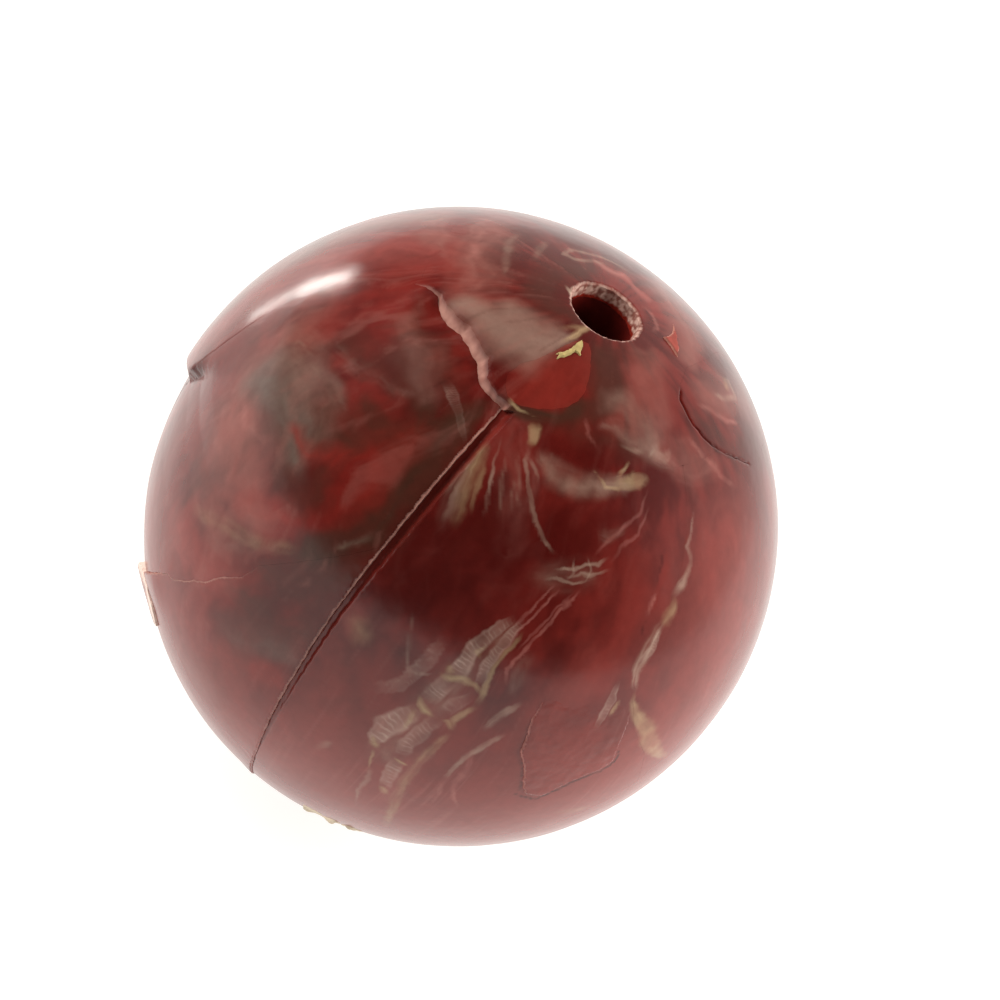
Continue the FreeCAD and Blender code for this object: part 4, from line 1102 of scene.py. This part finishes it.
def chalk_down(points, depth, bare):
    """How chalky the broken walls are: a ragged band under the mouth's edge and worn edges elsewhere."""
    here = points * BALL
    bore = np.hypot(points[:, 0], points[:, 1]) * BALL < MOUTH + 0.6
    tooth = 0.14 * layered(here, 1.6, 51, 3)
    band = 1 - smooth(depth, 0.66 + tooth, 0.84 + tooth)
    edge = 1 - smooth(depth, 0.05 + 0.1 * bare, 0.22 + 0.3 * bare)
    return np.where(bore, band, edge * bare)


def line_gap(lines):
    """0 at the open crack's left side, 1 at its right side."""
    width = np.maximum(lines["crack_left"] - lines["crack_right"], 0.01)
    return lines["crack_left"] / width


def plate_paint(name, points, lines):
    """The marbling, with the patch's red and painted shade on the floor of the open crack."""
    paint = marbling(points)
    if name == "round_patch":
        paint = lay(paint, PATCH_RED, 0.55 * smooth(lon_lat(points)[0], -24, -6))
    if name == "front_plate":
        # painted shade in the open crack, darkest on its left side under the raised lip
        paint = lay(paint, INSIDE_AND_CRACK_SHADE, 0.85 * (1 - smooth(line_gap(lines), 0.5, 1.2)))
    return paint


def wall_tone(points, lines):
    """How far a broken wall darkens: hardly at the step and at seams that have healed."""
    lon, _ = lon_lat(points)
    healed = (np.abs(lines["break"]) < 0.6) & (lon > -37)
    healed |= (np.abs(lines["crown"]) < 0.6) & (lon < -67)
    return np.where((np.abs(lines["step"]) < 2) | healed, 0.1, 1.0)


def broken_paint(colour, places, depth, darker, chalk):
    """Darkens the walls and lays pale, speckled chalk where the plastic is bare."""
    near_bore = np.hypot(places[:, 0], places[:, 1]) < MOUTH + 0.8
    wall = np.where(near_bore[:, None], BORE_RED, INSIDE_AND_CRACK_SHADE)
    colour = lay(colour, wall, darker * smooth(depth, 0.0, 0.5))
    specks = smooth(layered(places, 2.4, 57, 3), -0.55, 0.55)
    specks = np.where(near_bore, specks, 0.35 + 0.65 * smooth(layered(places, 1.1, 58, 3), -0.8, 0.5))
    pale = np.where(near_bore[:, None], RIM, CHALK)
    return lay(colour, DUSK + (pale - DUSK) * specks[:, None], chalk)


def make_plate(name, rows):
    """Cuts a plate from the net, shapes and paints it, and puts it in the CAD plate's place."""
    net_points, net_faces = NET
    inside = np.min(sides_of(name, NET_LINES), axis=0)
    points, faces, rims = clip(net_points, net_faces, inside)
    lines = measures(points)
    top, bare = relief(name, points, lines)
    bottom = np.full(len(points), BED)
    places, faces, source, depth = closed_solid(points, faces, rims, top, bottom, rows)
    outside = depth == 0
    chalk = np.where(outside, bare[source], chalk_down(points[source], depth, bare[source]))
    colour = plate_paint(name, points, lines)[source]
    colour = broken_paint(colour, places, depth, wall_tone(points, lines)[source], chalk)
    piece = make_object(f"{name}_marbled", places, faces, colour, {"bare": chalk}, COVER)
    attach(piece, "root")
    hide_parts(name)


for plate_name, (slot_name, wall_rows) in PLATES.items():
    make_plate(plate_name, wall_rows)


# ---------------------------------------------------------------- lifted flakes

EDGE_FLAP = [(-57, -26.4), (-58, -29), (-56, -31.5), (-52, -33.5), (-47, -33.5), (-44, -31),
             (-46, -28), (-50, -25.8), (-53, -26.2), (-55.4, -26.2)]
TRIANGLE_FLAKE = [(101.2, 74.9), (106, 76.6), (112.2, 78.5), (118, 77.0), (126.6, 75.5),
                  (137, 74.4), (126, 75.0), (112, 75.0)]
YELLOW_CHIP = [(-3.7, 79.5), (-1.1, 79.1), (2.6, 76.2), (-2.1, 76.4), (-2.9, 75.5), (-4.3, 74.4),
               (-7.8, 72.6), (-8.9, 73.9), (-11.1, 73.1), (-6.9, 75.4), (-5.2, 78.1)]
BASE_LEFT = [(7, -41.5), (10, -40.4), (12.5, -41.6), (13, -44), (11.5, -47), (8, -46.5)]
BASE_MIDDLE = [(12.6, -42.6), (15, -41.4), (17.5, -42.6), (18, -45), (16, -48), (13, -46.4)]
BASE_RIGHT = [(18, -42.4), (20.5, -41.6), (23, -42.2), (24, -45), (21.5, -47), (18.6, -46)]

FLAKE_LEAST = 0.03                # no flake is thinner than this


def fine_net(outline, size):
    """The net's triangles round an outline, split until their sides are under size mm."""
    points, faces = NET
    corners = direction(*np.array(outline, float).T)
    middle = corners.mean(axis=0)
    middle /= np.linalg.norm(middle)
    reach = np.min(corners @ middle) - 0.012
    near = (points @ middle > reach)[faces].all(axis=1)
    used, faces = np.unique(faces[near], return_inverse=True)
    points, faces = points[used], faces.reshape(-1, 3)
    for _ in range(5):
        points, faces = split(points, faces, lambda middles, lengths: lengths > size * 1.4)
    return points, faces


def make_flake(name, slot, outline, size, rise, foot, colour):
    """A thin lifted flake: rise gives its upper surface above the ball, and foot its depth in it."""
    points, faces = fine_net(outline, size)
    shaken = ragged(points, 0.09, 2.2, 9)
    points, faces, rims = clip(points, faces, within(shaken, outline))
    inside = np.maximum(within(ragged(points, 0.09, 2.2, 9), outline), 0)
    top = BALL + rise(points, inside)
    bottom = np.minimum(BALL - foot, top - FLAKE_LEAST)
    places, faces, source, depth = closed_solid(points, faces, rims, top, bottom, 3)
    paint, bare = colour(points[source], inside[source], depth)
    material = COVER if name in ("tongue_flake", "edge_flap") else CHIPS
    piece = make_object(f"{name}_flake", places, faces, paint, {"bare": bare}, material)
    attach(piece, "root")
    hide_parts(name)


def tongue_rise(points, inside):
    _, lat = lon_lat(points)
    height = 0.24 * (1 - smooth(lat, 6, 19))
    return height * smooth(inside, -0.08, 0.12) + 0.035 * layered(points * BALL, 0.9, 33, 2) - 0.03


def tongue_paint(points, inside, depth):
    lon, lat = lon_lat(points)
    # the torn rim is pale all round, and much paler on the left as a painted lit side
    torn = (1 - smooth(inside, 0.03, 0.14)) * (1 - smooth(lat, 12, 18))
    left = 1 - smooth(lon, 36, 42)
    pale = torn * np.maximum(left, 0.25)
    paint = lay(marbling(points), PINK, 0.85 * pale)
    # painted shade: the walls away from the lit left side are darkened
    return lay(paint, DEEP, 0.8 * smooth(depth, 0.0, 0.4) * (1 - 0.8 * left)), pale


def straw_paint(points, inside, depth):
    here = points * BALL
    tone = 1 + 0.25 * layered(here, 1.8, 41, 3)
    paint = np.tile(CHIP_STRAW, (len(points), 1)) * tone[:, None]
    return lay(paint, UMBER, 0.5 * smooth(depth, 0.4, 1)), np.full(len(points), 0.8)


def pink_paint(points, inside, depth):
    here = points * BALL
    tone = 1 + 0.15 * layered(here, 1.4, 42, 3)
    edge = 1 - smooth(inside, 0.02, 0.16)
    paint = lay(np.tile(RED, (len(points), 1)), FLAKE_PINK, 0.15 + 0.75 * edge)
    return paint * tone[:, None], np.full(len(points), 0.6)


def flap_paint(points, inside, depth):
    near = points @ direction(0, 38) * BALL
    tone = 1 + 0.10 * layered(points * BALL, 1.2, 43, 3)
    # the inner slope and the lower half carry painted light, as if lit through the thin flap
    edge = np.maximum(smooth(near, 3.7, 4.4), smooth(lon_lat(points)[1], -29, -27))
    paint = lay(np.tile(ROSE, (len(points), 1)), FLAP_PAINTED_LIGHT, edge)
    return paint * tone[:, None], 0.5 * edge


def raised(height, edge):
    """A flat flake that stands height mm proud, its upper edge falling over edge mm."""
    def rise(points, inside):
        return height * smooth(inside, -0.02, edge) + 0.04 * layered(points * BALL, 1.1, 35, 2)
    return rise


def flap_rise(points, inside):
    _, lat = lon_lat(points)
    near = points @ direction(0, 38) * BALL
    reach = np.interp(lat, [-33, -28, -23], [5.6, 4.6, 2.9])
    lifted = 0.60 * (1 - smooth(near, 1.4, reach)) * (1 - 0.95 * smooth(-lat, 25, 33))
    return lifted + 0.02 * layered(points * BALL, 0.9, 36, 2) - 0.05


def fringe_rise(points, inside):
    torn = smooth(noise(points * BALL, 0.8, 37), -0.1, 0.7)
    return (0.05 + 0.30 * torn) * smooth(inside, -0.02, 0.25)


def fringe_paint(points, inside, depth):
    tone = 1 + 0.2 * layered(points * BALL, 1.8, 41, 3)
    return np.tile(FRINGE, (len(points), 1)) * tone[:, None], np.full(len(points), 0.9)


# Slot, outline, net, upper surface, depth of the lower surface and colour.
FLAKES = {
    "tongue_flake": ("cover_oxblood", TONGUE + [(50.5, 14), (49.4, 20), (44, 22), (36, 21.5)], 0.14,
                     tongue_rise, 0.25, tongue_paint),
    "edge_flap": ("flake_pink", EDGE_FLAP, 0.12, flap_rise, 0.85, flap_paint),
    "triangle_flake": ("flake_pink", TRIANGLE_FLAKE, 0.08, raised(0.22, 0.15), 0.2, pink_paint),
    "yellow_chip": ("chip_straw", YELLOW_CHIP, 0.07, raised(0.16, 0.12), 0.25, straw_paint),
    "base_flake_left": ("chip_straw", BASE_LEFT, 0.1, fringe_rise, 0.15, fringe_paint),
    "base_flake_middle": ("chip_straw", BASE_MIDDLE, 0.1, fringe_rise, 0.15, fringe_paint),
    "base_flake_right": ("chip_straw", BASE_RIGHT, 0.1, fringe_rise, 0.15, fringe_paint),
}

for flake_name, flake_settings in FLAKES.items():
    make_flake(flake_name, *flake_settings)


# ---------------------------------------------------------------- the core

core = frame["nodes"]["core"]
core.data.materials.clear()
core.data.materials.append(CORE_RED)


# ---------------------------------------------------------------- camera

CAMERA_HEIGHT = math.radians(38)
CAMERA_ROLL = math.radians(34.5)
CAMERA_AWAY = 14 * BALL * MM
CAMERA_LENS = 160.87
AIM_RIGHT = 0.0093
AIM_UP = 0.0059

back = Vector((0, -math.cos(CAMERA_HEIGHT), math.sin(CAMERA_HEIGHT)))
level_up = Vector((0, math.sin(CAMERA_HEIGHT), math.cos(CAMERA_HEIGHT)))
picture_up = level_up * math.cos(CAMERA_ROLL) - Vector((1, 0, 0)) * math.sin(CAMERA_ROLL)
picture_right = level_up * math.sin(CAMERA_ROLL) + Vector((1, 0, 0)) * math.cos(CAMERA_ROLL)


def from_picture(right, up, near):
    """A direction given by how far it points right, up and towards the viewer."""
    return (picture_right * right + picture_up * up + back * near).normalized()


camera_data = bpy.data.cameras.new("camera")
camera_data.lens = CAMERA_LENS
camera_data.sensor_width = 36
camera_data.clip_start = 0.01
camera_data.clip_end = 100
camera = bpy.data.objects.new("camera", camera_data)
camera.location = back * CAMERA_AWAY
axis_back = (back - picture_right * AIM_RIGHT - picture_up * AIM_UP).normalized()
axis_right = picture_up.cross(axis_back).normalized()
axis_up = axis_back.cross(axis_right)
camera.rotation_mode = "QUATERNION"
camera.rotation_quaternion = Matrix((axis_right, axis_up, axis_back)).transposed().to_quaternion()
bpy.context.scene.collection.objects.link(camera)
bpy.context.scene.camera = camera


# ---------------------------------------------------------------- floor and light

def plane(name, half, height):
    """A square sheet of floor, seen from above."""
    mesh = bpy.data.meshes.new(name)
    corners = [(-half, -half, height), (half, -half, height), (half, half, height),
               (-half, half, height)]
    mesh.from_pydata(corners, [], [(0, 1, 2, 3)])
    piece = bpy.data.objects.new(name, mesh)
    bpy.context.scene.collection.objects.link(piece)
    return piece


def floor_material():
    material = bpy.data.materials.new("pale_floor")
    material.use_nodes = True
    shader = material.node_tree.nodes["Principled BSDF"]
    shader.inputs["Base Color"].default_value = (0.25, 0.25, 0.25, 1)
    shader.inputs["Roughness"].default_value = 0.9
    shader.inputs["Specular IOR Level"].default_value = 0.0
    shader.inputs["Emission Color"].default_value = (1, 0.98, 0.94, 1)
    shader.inputs["Emission Strength"].default_value = 0.95
    return material


floor = plane("floor", 3.0, -BALL * MM - 0.0004)
floor.data.materials.append(floor_material())


SOFT_AWAY = 1.2                   # metres from the ball to the soft lights
SOFT_SIDE = 0.8
SOFT_COLOUR = (1, 0.955, 0.90)
STRIP_COLOUR = (1, 0.96, 0.90)


def panel(name, width, height, power, place, turn):
    """A rectangular light that the camera doesn't see."""
    data = bpy.data.lights.new(name, "AREA")
    data.shape = "RECTANGLE"
    data.size = width
    data.size_y = height
    data.energy = power
    light = bpy.data.objects.new(name, data)
    light.location = place
    light.rotation_mode = "QUATERNION"
    light.rotation_quaternion = turn
    light.visible_camera = False
    bpy.context.scene.collection.objects.link(light)
    return light


def soft_light(name, towards, power):
    """A big far light that the gloss doesn't mirror."""
    towards = Vector(towards).normalized()
    turn = towards.to_track_quat("Z", "Y")
    light = panel(name, SOFT_SIDE, SOFT_SIDE, power, towards * SOFT_AWAY, turn)
    light.data.color = SOFT_COLOUR
    light.visible_glossy = False


def strip_light(name, start, end, width, power):
    """A narrow panel from start to end, in metres, that only shows in the gloss."""
    start, end = Vector(start), Vector(end)
    middle = (start + end) / 2
    long = (end - start).normalized()
    outward = (middle - long * middle.dot(long)).normalized()
    turn = Matrix((long.cross(outward), long, outward)).transposed().to_quaternion()
    light = panel(name, width, (end - start).length, power, middle, turn)
    light.data.color = STRIP_COLOUR
    light.visible_diffuse = False


soft_light("top_light", from_picture(-0.35, 0.90, 0.25), 21)
soft_light("right_light", from_picture(0.95, 0.10, 0.15), 21)
soft_light("left_light", (-0.93, -0.25, 0.25), 3.2)
soft_light("front_light", from_picture(0.0, -0.30, 1.0), 1.5)
strip_light("strip", (-0.0585, 0.0254, 0.0274), (-0.0629, 0.0230, 0.0131), 0.0066, 0.0068)
strip_light("middle_strip", (-0.0629, 0.0230, 0.0131), (-0.0636, 0.0213, -0.0020), 0.0044, 0.0022)

# A pale surround that dims towards the viewer, so that only the ball's edges take a haze.
world = bpy.data.worlds.new("studio")
bpy.context.scene.world = world
world.use_nodes = True
tree = world.node_tree
background = tree.nodes["Background"]
background.inputs["Color"].default_value = (1, 0.86, 0.80, 1)
facing = tree.nodes.new("ShaderNodeTexCoord")
toward = tree.nodes.new("ShaderNodeVectorMath")
toward.operation = "DOT_PRODUCT"
toward.inputs[1].default_value = from_picture(-0.6, 0.0, 1.0)
tree.links.new(facing.outputs["Generated"], toward.inputs[0])
dimmer = add(tree, "ShaderNodeMapRange", From_Min=-1.0, From_Max=0.1, To_Min=1.15, To_Max=0.02)
dimmer.interpolation_type = "SMOOTHSTEP"
tree.links.new(toward.outputs["Value"], dimmer.inputs["Value"])
tree.links.new(dimmer.outputs["Result"], background.inputs["Strength"])
bpy.context.scene.view_settings.view_transform = "Standard"
